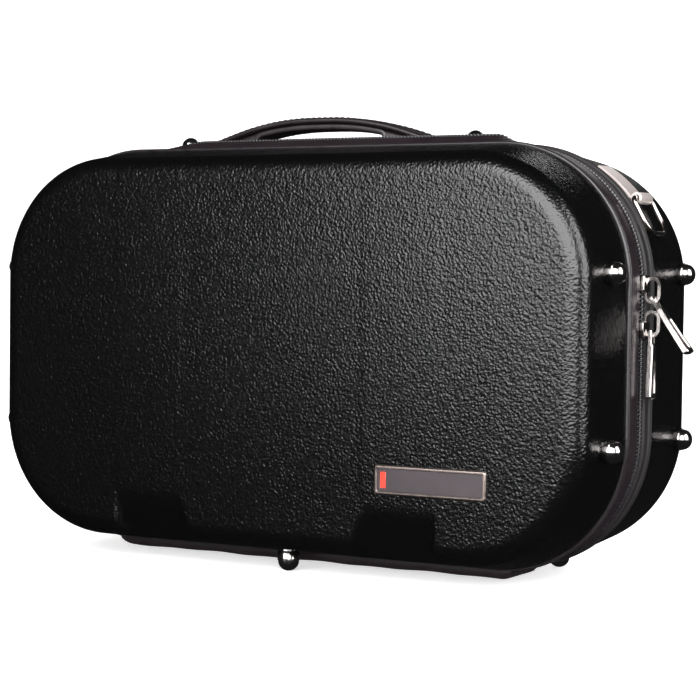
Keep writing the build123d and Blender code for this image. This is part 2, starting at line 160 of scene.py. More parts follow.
def capped_mesh(name: str, points: np.ndarray, sharp: float = 40) -> bpy.types.Object:
    """Make an object from a tube of rings, closed at both ends by drawing each end's ring to its middle.

    Args:
        name: object name.
        points: rows by columns by 3 grid, each row a ring.
        sharp: edges over this angle in degrees stay crisp.
    Returns:
        The linked object.
    """
    first = points[:1] * 0 + points[0].mean(axis=0)
    last = points[:1] * 0 + points[-1].mean(axis=0)
    return sheet_mesh(name, np.concatenate([first, points, last]), wrap_columns=True, sharp=sharp)


def repeated(name: str, shape: np.ndarray, quads: np.ndarray, origins: np.ndarray, frames: np.ndarray,
             sharp: float = 50) -> bpy.types.Object:
    """Set many copies of one small shape into one mesh.

    Formula: each point is the copy's origin plus its local place times the copy's three axes.

    Args:
        name: object name.
        shape: k by 3 local points in metres.
        quads: its faces.
        origins: q by 3 places.
        frames: q by 3 by 3, the local axes as rows.
        sharp: angle over which edges stay crisp.
    Returns:
        One object that holds every copy.
    """
    points = origins[:, None, :] + np.einsum("ka,qab->qkb", shape, frames)
    faces = quads[None] + (np.arange(len(origins)) * len(shape))[:, None, None]
    return mesh_from(name, points, faces.reshape(-1, quads.shape[1]), weld=False, sharp=sharp)


def pill(length: float, width: float, height: float, around: int = 8,
         along: int = 6) -> tuple[np.ndarray, np.ndarray]:
    """Small closed capsule along local X, used for teeth and stitches.

    Formula: a superellipse of power 4 along X, times an ellipse across.

    Args:
        length: size along X.
        width: size along Y.
        height: size along Z.
        around: points round it.
        along: rings along it.
    Returns:
        Points and faces.
    """
    t = np.linspace(-1, 1, along)
    scale = np.maximum(1 - np.abs(t) ** 4, 0) ** 0.5
    a = np.arange(around) * 2 * math.pi / around
    x = np.broadcast_to((t * length / 2)[:, None], (along, around))
    y = scale[:, None] * np.cos(a) * width / 2
    z = scale[:, None] * np.sin(a) * height / 2
    return np.stack([x, y, z], axis=-1).reshape(-1, 3), grid_quads(along, around, wrap_columns=True)[:, ::-1]


def rounded_path(corners: list[tuple[float, float]], radii: list[float], step: float,
                 closed: bool = False) -> np.ndarray:
    """Polyline with its corners rounded, as evenly spaced points.

    Formula: each corner becomes an arc that starts radius times tan(half the turn) before it.

    Args:
        corners: the polyline's points.
        radii: one radius for each corner that is rounded, in order.
        step: distance between points.
        closed: whether the line runs back to its start.
    Returns:
        n by 2 points.
    """
    given = np.array(corners, float)
    count = len(given)
    marks = range(count) if closed else range(1, count - 1)
    pieces = [] if closed else [given[:1]]
    for index, radius in zip(marks, radii):
        here = given[index]
        back, ahead = given[index - 1] - here, given[(index + 1) % count] - here
        back, ahead = back / np.linalg.norm(back), ahead / np.linalg.norm(ahead)
        half = math.acos(np.clip(-back @ ahead, -1, 1)) / 2
        reach = radius * math.tan(half)
        inward = (back + ahead) / np.linalg.norm(back + ahead)
        centre = here + inward * radius / math.cos(half)
        swing = np.linspace(-half, half, 9)[:, None]
        tangent = (ahead - back) / np.linalg.norm(ahead - back)
        pieces.append(centre - inward * radius * np.cos(swing) + tangent * radius * np.sin(swing))
    if not closed:
        pieces.append(given[-1:])
    line = np.concatenate(pieces + ([pieces[0][:1]] if closed else []))
    run = np.concatenate([[0], np.cumsum(np.linalg.norm(np.diff(line, axis=0), axis=1))])
    marks_along = np.linspace(0, run[-1], max(8, int(run[-1] / step)) + 1)
    even = np.stack([np.interp(marks_along, run, line[:, k]) for k in (0, 1)], axis=1)
    return even[:-1] if closed else even


def smooth_min(a: np.ndarray, b: np.ndarray, softness: float) -> np.ndarray:
    """Lesser of two heights with a rounded crease: minus softness times log(exp(-a/s) + exp(-b/s))."""
    return -softness * np.logaddexp(-a / softness, -b / softness)


# ---------------------------------------------------------------- the case's outline

@dataclass(frozen=True)
class Outline:
    """Rim outline of the case and everything that runs round it, in metres."""

    length: float
    height: float
    corner: float
    middle_z: float
    step: float = 1.5 * MM

    def line(self) -> tuple[np.ndarray, np.ndarray]:
        """Points on the outline and their outward normals.

        Formula: four quarter circles joined by straight runs, starting at the +X end and turning towards +Z.

        Returns:
            n by 2 points (X, Z) and n by 2 normals.
        """
        half_x, half_z = self.length / 2 - self.corner, self.height / 2 - self.corner
        signs = [(1, 1), (-1, 1), (-1, -1), (1, -1)]
        runs = [2 * half_x, 2 * half_z, 2 * half_x, 2 * half_z]
        arc = int(self.corner * math.pi / 2 / self.step)
        points, normals = [], []
        for quarter, ((sx, sz), run) in enumerate(zip(signs, runs)):
            a = math.pi / 2 * (quarter + np.linspace(0, 1, arc + 1))
            n = np.stack([np.cos(a), np.sin(a)], axis=1)
            p = np.array([sx * half_x, sz * half_z]) + self.corner * n
            t = np.linspace(0, 1, int(run / self.step) + 1)[1:-1, None]
            heading = np.array([-n[-1, 1], n[-1, 0]])
            points += [p, p[-1] + heading * run * t]
            normals += [n, np.repeat(n[-1:], len(t), axis=0)]
        return np.concatenate(points), np.concatenate(normals)

    def sweep(self, depth: np.ndarray, inset: np.ndarray) -> np.ndarray:
        """Carry a profile round the outline.

        Formula: outline point minus inset times normal, at the profile's depth.

        Args:
            depth: Y of each profile point.
            inset: distance of each profile point inside the outline.
        Returns:
            profile by outline by 3 points.
        """
        p, n = self.line()
        flat = p[None] - np.asarray(inset)[:, None, None] * n[None]
        y = np.broadcast_to(np.asarray(depth)[:, None], flat.shape[:2])
        return np.stack([flat[..., 0], y, flat[..., 1] + self.middle_z], axis=-1)

    def stations(self, pitch: float, offset: float = 0.0) -> tuple[np.ndarray, np.ndarray, np.ndarray]:
        """Evenly spaced places round the outline.

        Formula: run length measured along the outline, read back at whole pitches.

        Args:
            pitch: wanted spacing, which is stretched to fit a whole number of places.
            offset: share of a pitch by which all places are moved.
        Returns:
            Points, normals and headings, each q by 2 (X, Z).
        """
        p, n = self.line()
        loop = np.concatenate([p, p[:1]])
        turns = np.concatenate([n, n[:1]])
        run = np.concatenate([[0], np.cumsum(np.linalg.norm(np.diff(loop, axis=0), axis=1))])
        count = int(run[-1] / pitch)
        marks = (np.arange(count) + offset) / count * run[-1]
        at = np.stack([np.interp(marks, run, loop[:, k]) for k in (0, 1)], axis=1)
        out = np.stack([np.interp(marks, run, turns[:, k]) for k in (0, 1)], axis=1)
        out /= np.linalg.norm(out, axis=1, keepdims=True)
        return at, out, np.stack([-out[:, 1], out[:, 0]], axis=1)

    def middle_line(self, points: np.ndarray) -> np.ndarray:
        """Nearest places on the outline's middle segment, where all the face's rows meet.

        Args:
            points: n by 3 places.
        Returns:
            The same number of places, all on the segment's height.
        """
        reach = self.length / 2 - self.height / 2
        out = points.copy()
        out[..., 0] = np.clip(points[..., 0], -reach, reach)
        out[..., 2] = self.middle_z
        return out


# ---------------------------------------------------------------- materials

def node(tree: bpy.types.NodeTree, kind: str, settings: dict | None = None, **links) -> bpy.types.Node:
    """Add one node.

    Args:
        tree: the material's node tree.
        kind: Blender's node name.
        settings: node properties, or input values where the key is an input's name or number.
        links: input name (spaces as underscores) to the output socket that feeds it.
    Returns:
        The node.
    """
    new = tree.nodes.new(kind)
    for key, value in (settings or {}).items():
        if isinstance(key, int) or key in new.inputs:
            new.inputs[key].default_value = value
        else:
            setattr(new, key, value)
    for key, socket in links.items():
        name = key.replace("_", " ")
        tree.links.new(socket, new.inputs[int(key[1:]) if key[0] == "i" and key[1:].isdigit() else name])
    return new


def shader(name: str, settings: dict) -> tuple[bpy.types.Material, bpy.types.NodeTree, bpy.types.Node,
                                               bpy.types.NodeSocket]:
    """Start a material with a principled shader and Object coordinates.

    Args:
        name: the material's name.
        settings: the shader's own values.
    Returns:
        The material, its tree, the shader node and the coordinate socket.
    """
    material = bpy.data.materials.new(name)
    material.use_nodes = True
    tree = material.node_tree
    tree.nodes.clear()
    out = node(tree, "ShaderNodeOutputMaterial")
    face = node(tree, "ShaderNodeBsdfPrincipled", settings)
    tree.links.new(face.outputs["BSDF"], out.inputs["Surface"])
    place = node(tree, "ShaderNodeTexCoord").outputs["Object"]
    return material, tree, face, place


def per_metre(size: float) -> float:
    """Pattern scale whose repeat is a size in mm."""
    return 1000 / size


def blend_of(first: str, second: str) -> dict:
    """Settings of a colour mix between two hex colours."""
    return {"data_type": "RGBA", 6: linear(first), 7: linear(second)}


def span(low: float, high: float, to_low: float, to_high: float) -> dict:
    """Settings of a map range from one span to another."""
    return {"From Min": low, "From Max": high, "To Min": to_low, "To Max": to_high}


@dataclass(frozen=True)
class MouldedAbs:
    """Thermoformed black ABS sheet with a pebbled haircell grain: broken, silky highlights on deep black."""

    colour: str = "020202"
    worn: str = "040404"
    pebble_mm: float = 1.35
    fissure_mm: float = 1.25
    fissure_share: float = 2.5   # height of the fissures for one of the pebbles
    patch_mm: float = 90.0
    deep: float = 0.085 * MM
    glossy: float = 0.15         # roughness on a pebble's top
    silky: float = 0.24          # and between the pebbles

    def make(self) -> bpy.types.Material:
        """Build the material.

        Returns:
            The node material.
        """
        m, t, face, place = shader("moulded_abs", {"IOR": 1.5, "Specular IOR Level": 0.5})
        pebbles = {"feature": "SMOOTH_F1", "Scale": per_metre(self.pebble_mm), "Smoothness": 0.4}
        fissures = {"Scale": per_metre(self.fissure_mm), "Detail": 1.0}
        patches = {"Scale": per_metre(self.patch_mm), "Detail": 2.0}
        pebble = node(t, "ShaderNodeTexVoronoi", pebbles, Vector=place).outputs["Distance"]
        fissure = node(t, "ShaderNodeTexNoise", fissures, Vector=place).outputs["Fac"]
        patch = node(t, "ShaderNodeTexNoise", patches, Vector=place).outputs["Fac"]
        sum_up = {"operation": "MULTIPLY_ADD", 1: self.fissure_share}
        height = node(t, "ShaderNodeMath", sum_up, i0=fissure, i2=pebble).outputs[0]
        bump = node(t, "ShaderNodeBump", {"Strength": 1.0, "Distance": self.deep}, Height=height)
        tone = node(t, "ShaderNodeMix", blend_of(self.colour, self.worn), i0=patch)
        gloss = node(t, "ShaderNodeMapRange", span(0.0, 0.7, self.glossy, self.silky), Value=pebble)
        t.links.new(bump.outputs[0], face.inputs["Normal"])
        t.links.new(tone.outputs[2], face.inputs["Base Color"])
        t.links.new(gloss.outputs["Result"], face.inputs["Roughness"])
        return m


@dataclass(frozen=True)
class SoftPvc:
    """Calendered PVC leathercloth: a smooth satin skin with a faint plum cast where it catches the light."""

    name: str = "pvc_leathercloth"
    colour: str = "130e11"
    worn: str = "1e171a"
    roughness: float = 0.34
    grain_mm: float = 0.6
    coat: float = 0.12
    crease_mm: float = 9.0

    def make(self) -> bpy.types.Material:
        """Build the material.

        Returns:
            The node material.
        """
        m, t, face, place = shader(self.name, {"IOR": 1.52, "Coat Weight": self.coat, "Coat Roughness": 0.2})
        grains = {"feature": "F1", "Scale": per_metre(self.grain_mm)}
        creases = {"Scale": per_metre(self.crease_mm), "Detail": 4.0}
        grain = node(t, "ShaderNodeTexVoronoi", grains, Vector=place).outputs["Distance"]
        crease = node(t, "ShaderNodeTexNoise", creases, Vector=place).outputs["Fac"]
        doubled = {"operation": "MULTIPLY_ADD", 1: 2.0}
        height = node(t, "ShaderNodeMath", doubled, i0=crease, i2=grain).outputs[0]
        bump = node(t, "ShaderNodeBump", {"Strength": 0.16, "Distance": 0.3 * MM}, Height=height)
        tone = node(t, "ShaderNodeMix", blend_of(self.colour, self.worn), i0=crease)
        rough = span(0.3, 0.7, self.roughness - 0.06, self.roughness + 0.1)
        gloss = node(t, "ShaderNodeMapRange", rough, Value=crease)
        t.links.new(bump.outputs[0], face.inputs["Normal"])
        t.links.new(tone.outputs[2], face.inputs["Base Color"])
        t.links.new(gloss.outputs["Result"], face.inputs["Roughness"])
        return m


@dataclass(frozen=True)
class WovenTape:
    """Polyester zip tape in a tight twill: a dull black that shows its diagonal ribs close up."""

    name: str = "polyester_tape"
    colour: str = "0d0b0e"
    linty: str = "17141a"
    rib_mm: float = 0.7
    lint_mm: float = 2.5
    wave_turn: float = 6.28      # one wave of the texture spans this much of its own scale

    def make(self) -> bpy.types.Material:
        """Build the material.

        Returns:
            The node material.
        """
        cloth = {"Roughness": 0.8, "Sheen Weight": 0.25, "Sheen Roughness": 0.4}
        m, t, face, place = shader(self.name, cloth)
        ribs = {"Scale": per_metre(self.rib_mm) / self.wave_turn, "Distortion": 0.6}
        specks = {"Scale": per_metre(self.lint_mm), "Detail": 5.0}
        twill = node(t, "ShaderNodeMapping", {"Rotation": (0.6, 0.8, 0.5)}, Vector=place).outputs[0]
        rib = node(t, "ShaderNodeTexWave", ribs, Vector=twill).outputs["Fac"]
        lint = node(t, "ShaderNodeTexNoise", specks, Vector=place).outputs["Fac"]
        bump = node(t, "ShaderNodeBump", {"Strength": 0.5, "Distance": 0.3 * MM}, Height=rib)
        tone = node(t, "ShaderNodeMix", blend_of(self.colour, self.linty), i0=lint)
        t.links.new(bump.outputs[0], face.inputs["Normal"])
        t.links.new(tone.outputs[2], face.inputs["Base Color"])
        return m


@dataclass(frozen=True)
class NylonFilament:
    """Extruded nylon monofilament of the zip's coil, or its sewing thread: small hard glints on black."""

    name: str = "nylon_filament"
    colour: str = "0e0b0e"
    roughness: float = 0.2
    rubbed: str = "1c181d"
    mark_mm: float = 1.3

    def make(self) -> bpy.types.Material:
        """Build the material.

        Returns:
            The node material.
        """
        m, t, face, place = shader(self.name, {"IOR": 1.53, "Coat Weight": 0.7, "Coat Roughness": 0.12})
        marks = {"Scale": per_metre(self.mark_mm), "Detail": 2.0}
        mark = node(t, "ShaderNodeTexNoise", marks, Vector=place).outputs["Fac"]
        tone = node(t, "ShaderNodeMix", blend_of(self.colour, self.rubbed), i0=mark)
        rough = span(0.3, 0.7, self.roughness - 0.08, self.roughness + 0.12)
        gloss = node(t, "ShaderNodeMapRange", rough, Value=mark)
        t.links.new(tone.outputs[2], face.inputs["Base Color"])
        t.links.new(gloss.outputs["Result"], face.inputs["Roughness"])
        return m


@dataclass(frozen=True)
class PlatedMetal:
    """Nickel or chrome plating on a casting or turned stud: mirror-like, with faint handling marks."""

    name: str
    colour: str = "d6d2d0"
    shade: str = "b3adab"
    roughness: float = 0.1
    metallic: float = 1.0
    smear_mm: float = 3.0
    scratch_mm: float = 0.5

    def make(self) -> bpy.types.Material:
        """Build the material.

        Returns:
            The node material.
        """
        m, t, face, place = shader(self.name, {"Metallic": self.metallic})
        smears = {"Scale": per_metre(self.smear_mm), "Detail": 6.0, "Roughness": 0.7}
        scratches = {"Scale": per_metre(self.scratch_mm), "Detail": 2.0}
        smear = node(t, "ShaderNodeTexNoise", smears, Vector=place).outputs["Fac"]
        scratch = node(t, "ShaderNodeTexNoise", scratches, Vector=place).outputs["Fac"]
        bump = node(t, "ShaderNodeBump", {"Strength": 0.03, "Distance": 0.2 * MM}, Height=scratch)
        tone = node(t, "ShaderNodeMix", blend_of(self.shade, self.colour), i0=smear)
        rough = span(0.35, 0.75, self.roughness, self.roughness + 0.12)
        gloss = node(t, "ShaderNodeMapRange", rough, Value=smear)
        t.links.new(bump.outputs[0], face.inputs["Normal"])
        t.links.new(tone.outputs[2], face.inputs["Base Color"])
        t.links.new(gloss.outputs["Result"], face.inputs["Roughness"])
        return m


@dataclass(frozen=True)
class Enamel:
    """Baked enamel under a clear coat on the name plate: an even, glassy colour."""

    name: str
    colour: str
    shade: str
    metallic: float = 0.0
    cloud_mm: float = 14.0

    def make(self) -> bpy.types.Material:
        """Build the material.

        Returns:
            The node material.
        """
        finish = {"Metallic": self.metallic, "Coat Weight": 0.8, "Coat Roughness": 0.08, "Roughness": 0.35}
        m, t, face, place = shader(self.name, finish)
        clouds = {"Scale": per_metre(self.cloud_mm), "Detail": 3.0}
        cloud = node(t, "ShaderNodeTexNoise", clouds, Vector=place).outputs["Fac"]
        tone = node(t, "ShaderNodeMix", blend_of(self.shade, self.colour), i0=cloud)
        t.links.new(tone.outputs[2], face.inputs["Base Color"])
        return m


@dataclass(frozen=True)
class Plush:
    """Short-pile velour over foam: soft, light-catching at grazing angles, with brushed patches."""

    name: str = "velour_pile"
    colour: str = "15151b"
    brushed: str = "2a2a35"
    sheen: str = "8a8aa0"
    pile_mm: float = 0.8
    patch_mm: float = 35.0

    def make(self) -> bpy.types.Material:
        """Build the material.

        Returns:
            The node material.
        """
        finish = {"Roughness": 0.95, "Sheen Weight": 0.9, "Sheen Roughness": 0.35,
                  "Sheen Tint": linear(self.sheen), "Specular IOR Level": 0.1}
        m, t, face, place = shader(self.name, finish)
        piles = {"Scale": per_metre(self.pile_mm), "Detail": 4.0}
        patches = {"Scale": per_metre(self.patch_mm), "Detail": 3.0}
        pile = node(t, "ShaderNodeTexNoise", piles, Vector=place).outputs["Fac"]
        patch = node(t, "ShaderNodeTexNoise", patches, Vector=place).outputs["Fac"]
        bump = node(t, "ShaderNodeBump", {"Strength": 0.5, "Distance": 0.8 * MM}, Height=pile)
        tone = node(t, "ShaderNodeMix", blend_of(self.colour, self.brushed), i0=patch)
        t.links.new(bump.outputs[0], face.inputs["Normal"])
        t.links.new(tone.outputs[2], face.inputs["Base Color"])
        return m


@dataclass(frozen=True)
class PaperSweep:
    """Matt white background paper that glows a little, so that it stays pale far from the lights."""

    colour: str = "f6f6f5"
    fibre: str = "fafaf9"
    glow: float = 0.6
    fibre_mm: float = 50 / 3

    def make(self) -> bpy.types.Material:
        """Build the material.

        Returns:
            The node material.
        """
        finish = {"Roughness": 0.9, "Specular IOR Level": 0.1, "Emission Color": (1, 1, 1, 1),
                  "Emission Strength": self.glow}
        m, t, face, place = shader("paper_sweep", finish)
        fibres = {"Scale": per_metre(self.fibre_mm), "Detail": 3.0}
        fibre = node(t, "ShaderNodeTexNoise", fibres, Vector=place).outputs["Fac"]
        tone = node(t, "ShaderNodeMix", blend_of(self.colour, self.fibre), i0=fibre)
        t.links.new(tone.outputs[2], face.inputs["Base Color"])
        return m


# ---------------------------------------------------------------- the case

@dataclass
class Kit:
    """Everything the sub-assemblies share: the outline and one material of each finish."""

    outline: Outline

    def __post_init__(self) -> None:
        """Make each finish once."""
        self.abs = MouldedAbs().make()
        self.pvc = SoftPvc().make()
        self.cord = SoftPvc("piping_pvc", "141113", "211c1f", 0.3, coat=0.2).make()
        self.matt = SoftPvc("matt_pvc", "0c090b", "140f12", 0.62, coat=0.0).make()
        self.hide = SoftPvc("padded_leathercloth", "130e10", "221a1e", 0.42, 0.8).make()
        self.tape = WovenTape().make()
        self.coil = NylonFilament().make()
        self.thread = NylonFilament("sewing_thread", "1c171b", 0.5).make()
        self.stud = PlatedMetal("chromed_stud").make()
        self.nickel = PlatedMetal("bright_nickel", "cfc8c4", "a8a09c", 0.14).make()
        self.satin = PlatedMetal("satin_nickel", "e0d6d2", "c0b4b0", 0.36, 0.75).make()
        self.casting = PlatedMetal("plated_zinc", "d9d3d1", "aaa29f", 0.16).make()
        self.bronze = PlatedMetal("satin_plate_edge", "b9aaa3", "8c7f7a", 0.28).make()
        self.plaque = Enamel("smoke_enamel", "4a4346", "332e31", 0.3).make()
        self.signal = Enamel("signal_enamel", "c03a26", "9c2a1b").make()
        self.plush = Plush().make()


def finish_piece(thing: bpy.types.Object, material: bpy.types.Material, body: str, slot: str,
                 *nodes: str) -> None:
    """Give a piece its material, body and the CAD nodes that it stands for.

    Args:
        thing: the piece.
        material: its finish.
        body: body that it rides on.
        slot: not used.
        nodes: CAD nodes that it replaces.
    """
    thing.data.materials.clear()
    thing.data.materials.append(material)
    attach(thing, body)
    if nodes:
        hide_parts(*nodes)
    log.info("%s: %d faces", thing.name, len(thing.data.polygons))


@dataclass
class Tray:
    """One moulded shell with its rolled-over edge; the lid's also has two flats at the foot of its face."""

    outline: Outline
    side: Side
    depth: float                 # parting plane to face
    rim: float                   # parting plane to rim
    draft: float                 # degrees
    crown: float                 # how far the middle of the face stands out
    flats: bool
    wall: float = 2.5 * MM
    inset: float = 0.8 * MM
    roll: float = 10 * MM
    plain: float = 36 * MM       # inset where the fine rows end
    flat_foot: float = 11 * MM   # depth of the flats at the case's bottom
    flat_rise: float = 27 * MM
    flat_below: float = 2 * MM   # how far under the case the flats' plane is drawn on
    flat_inner: tuple[float, float] = (51 * MM, 38 * MM)   # where a flat starts, at its top and its foot
    flat_outer: float = 90 * MM  # where it ends
    flank: tuple[float, float, float] = (1.6 * MM, 7 * MM, 4 * MM)   # width on top, and the foot's addition
    spare: float = 2 * MM        # the plane lies this far in front of the face beside a flat
    crease: float = 0.6 * MM
    row_step: float = 1.2 * MM
    face_rows: int = 21

    def profile(self, offset: float) -> tuple[np.ndarray, np.ndarray]:
        """Wall, rolled edge and start of the face, drawn in by an offset.

        Formula: a sloped line and a level line joined by an arc.

        Args:
            offset: distance inside the outer skin.
        Returns:
            Depths and insets of the profile's points.
        """
        face = self.depth - offset
        slope = math.tan(math.radians(self.draft))
        corner = self.inset + offset + slope * (face - self.rim)
        corners = [(self.rim, self.inset + offset), (face, corner), (face, self.plain)]
        line = rounded_path(corners, [self.roll - offset], self.row_step)
        return line[:, 0], line[:, 1]

    def cut(self, x: np.ndarray, z: np.ndarray) -> np.ndarray:
        """Depth to which the moulded flats cut the lid.

        Formula: a sloping plane under the face, which fades out over a flank at each side.

        Args:
            x: place along the case.
            z: height over the middle of the case.
        Returns:
            Largest depth that the surface may have there.
        """
        foot = -self.outline.height / 2 - self.flat_below
        top = -self.outline.height / 2 + self.flat_rise
        down = (top - z) / (top - foot)
        share = np.clip(down, 0, 1)
        least, inner_more, outer_more = self.flank
        inner = self.flat_inner[0] + share * (self.flat_inner[1] - self.flat_inner[0])
        begin = np.clip((np.abs(x) - inner) / (least + share * inner_more), 0, 1)
        end = np.clip((self.flat_outer - np.abs(x)) / (least + share * outer_more), 0, 1)
        return self.depth + self.spare - (down * self.flat_foot + self.spare) * begin * end

    def skin(self, offset: float) -> np.ndarray:
        """Grid of one skin of the tray, from its rim to the middle of its face.

        Formula: the face's rows run evenly from the rolled edge to the outline's middle segment; the crown is
        1 minus the square of each half-size's share, multiplied, and grows from the rim to the face.

        Args:
            offset: distance inside the outer skin.
        Returns:
            Rows by outline by 3 points.
        """
        depth, inset = self.profile(offset)
        wall = self.outline.sweep(depth, inset)
        middle = self.outline.middle_line(wall[-1])
        t = np.linspace(0, 1, self.face_rows + 1)[1:, None, None]
        rows = np.concatenate([wall, wall[-1] * (1 - t) + middle * t])
        x, z = rows[..., 0], rows[..., 2] - self.outline.middle_z
        across = np.clip(1 - (x / (self.outline.length / 2)) ** 2, 0, 1)
        upwards = np.clip(1 - (z / (self.outline.height / 2)) ** 2, 0, 1)
        grown = np.clip((rows[..., 1] - self.rim) / (self.depth - self.rim), 0, 1)
        level = rows[..., 1] + self.crown * across * upwards * grown
        if self.flats:
            level = smooth_min(level, self.cut(x, z) - offset, self.crease)
        rows[..., 1] = level * self.side.value
        return rows

    def build(self, kit: Kit) -> None:
        """Make the shell as one closed wall.

        Args:
            kit: outline and finishes of the case.
        """
        skins = np.concatenate([self.skin(self.wall)[::-1], self.skin(0.0)])
        name = f"{self.side.body}_shell"
        shell = sheet_mesh(f"{name}_moulding", skins, wrap_columns=True, sharp=50)
        finish_piece(shell, kit.abs, self.side.body, "moulded_shell", name)


@dataclass
class Rim:
    """Soft trim of one half: double bead, hemmed gusset strip with its stitches, zip tape and coil."""

    outline: Outline
    side: Side
    bead: float                  # radius of the space the bead fills
    bead_depth: float
    cord_share: float = 0.74     # radii of the covered cord and the lip, as shares of the bead's
    lip_share: float = 0.36
    hem: float = 3.4 * MM        # parting plane to the strip's hemmed edge
    hem_rise: float = 0.35 * MM
    hem_middle: float = 1.1 * MM   # from the hemmed edge
    hem_half: float = 0.9 * MM
    strip: float = 1.5 * MM      # inset of the gusset's outer face
    strip_thickness: float = 1.5 * MM
    bulge: float = 0.7 * MM
    edge_rows: float = 2.5       # rows of the strip over which its edges are rounded
    seam_pitch: float = 3.2 * MM
    seam_place: tuple[float, float] = (2.2 * MM, 0.35 * MM)   # from the hemmed edge, and how proud it stands
    stitch: tuple[float, float, float] = (2.3 * MM, 0.55 * MM, 0.45 * MM)
    tape_reach: tuple[float, float] = (0.5 * MM, 8 * MM)
    tape_inset: tuple[float, float] = (3.0 * MM, 3.7 * MM)
    pitch: float = 1.9 * MM      # of one half's filaments
    coil_depth: float = 1.45 * MM
    coil_inset: float = 1.85 * MM
    coil_proud: float = 1.3 * MM
    bar_size: tuple[float, float, float] = (2.9 * MM, 1.0 * MM, 1.7 * MM)    # of a filament
    head_size: tuple[float, float, float] = (1.2 * MM, 1.4 * MM, 1.9 * MM)
    head_shift: float = 1.0 * MM
    cord: tuple[float, float, float] = (3.0 * MM, 2.7 * MM, 0.35 * MM)   # depth, inset and radius
    spine_half: float = 112 * MM
    spine_gap: float = 1 * MM
    lift: float = 4.4 * MM       # how far the zip stands up along the top of the case
    lift_flat: float = 4 * MM    # the ridge is level this far from the parting plane
    lift_from: float = -112 * MM
    lift_to: float = 107 * MM
    lift_starts: tuple[float, float] = (40 * MM, 14 * MM)   # length of its rise at the left and the right

    @property
    def strip_end(self) -> float:
        """Depth at which the gusset strip runs under its bead."""
        return self.bead_depth - self.bead * 0.6

    def lifted(self, points: np.ndarray, proud: float = 0.0) -> np.ndarray:
        """Raise the strip along the case's top, where its slack makes a soft ridge under the zip.

        Formula: a flat-topped hill, the square of a cosine, from bead to bead, times a smooth step at each
        end of the run.

        Args:
            points: any array of points.
            proud: how much more the points are raised.
        Returns:
            The raised points.
        """
        x, y, z = points[..., 0], np.abs(points[..., 1]), points[..., 2]
        away = np.clip((y - self.lift_flat) / (self.strip_end - self.lift_flat), 0, 1)
        hill = np.cos(away * math.pi / 2) ** 2
        left = np.clip((x - self.lift_from) / self.lift_starts[0], 0, 1)
        right = np.clip((self.lift_to - x) / self.lift_starts[1], 0, 1)
        steps = left ** 2 * (3 - 2 * left) * right ** 2 * (3 - 2 * right)
        raised = points.copy()
        raised[..., 2] += (self.lift + proud) * hill * steps * (z > self.outline.middle_z)
        return raised

    def beads(self, kit: Kit) -> None:
        """Two tubes side by side: the covered cord and the narrow lip next to it.

        Args:
            kit: outline and finishes of the case.
        """
        a = np.arange(12) * 2 * math.pi / 12
        large, small = self.bead * self.cord_share, self.bead * self.lip_share
        near, far = self.bead_depth - self.bead + large, self.bead_depth + self.bead - small
        name = f"{self.side.body}_piping"
        cosines, sines = np.cos(a), np.sin(a)
        tubes = [self.outline.sweep(self.side.value * (depth + radius * cosines), radius + radius * sines)
                 for radius, depth in ((large, near), (small, far))]
        quads = grid_quads(*tubes[0].shape[:2], True, True)
        both = np.concatenate([quads, quads + tubes[0].shape[0] * tubes[0].shape[1]])
        piping = mesh_from(f"{name}_cord", np.concatenate([t.reshape(-1, 3) for t in tubes]), both)
        finish = kit.cord if self.side is Side.LID else kit.matt
        finish_piece(piping, finish, self.side.body, "piping_vinyl", name)

    def gusset(self, kit: Kit) -> None:
        """Hemmed strip from the bead to the zip.

        Formula: a closed profile whose outer face is a sine bulge with a raised hem at the zip.

        Args:
            kit: outline and finishes of the case.
        """
        t = np.linspace(0, 1, 26)
        depth = self.hem + t * (self.strip_end - self.hem)
        hem = self.hem_rise * np.exp(-((depth - self.hem - self.hem_middle) / self.hem_half) ** 2)
        edge = np.minimum(1, np.minimum(t, 1 - t) * len(t) / self.edge_rows) ** 0.5
        proud = self.strip_thickness / 2 + self.bulge * np.sin(math.pi * t) ** 0.8 + hem
        outer = self.strip + self.strip_thickness / 2 - proud * edge
        inner = np.full_like(outer, self.strip + self.strip_thickness)
        profile = np.concatenate([depth, depth[::-1]]), np.concatenate([outer, inner])
        name = f"{self.side.body}_gusset"
        grid = self.lifted(self.outline.sweep(self.side.value * profile[0], profile[1]))
        strip = sheet_mesh(f"{name}_strip", grid, True, True)
        finish = kit.pvc if self.side is Side.LID else kit.matt
        finish_piece(strip, finish, self.side.body, "gusset_vinyl", name)
        self.stitches(kit)

    def stitches(self, kit: Kit) -> None:
        """Lockstitch seam beside the hem: short sunk threads at an even pitch.

        Args:
            kit: outline and finishes of the case.
        """
        at, out, along = self.outline.stations(self.seam_pitch)
        shape, quads = pill(*self.stitch, 6, 5)
        depth, inset = self.hem + self.seam_place[0], self.strip - self.seam_place[1]
        name = f"{self.side.body}_gusset_seam"
        seam = repeated(name, shape, quads, *self.places(at, out, along, depth, inset))
        finish_piece(seam, kit.thread, self.side.body, "gusset_vinyl")

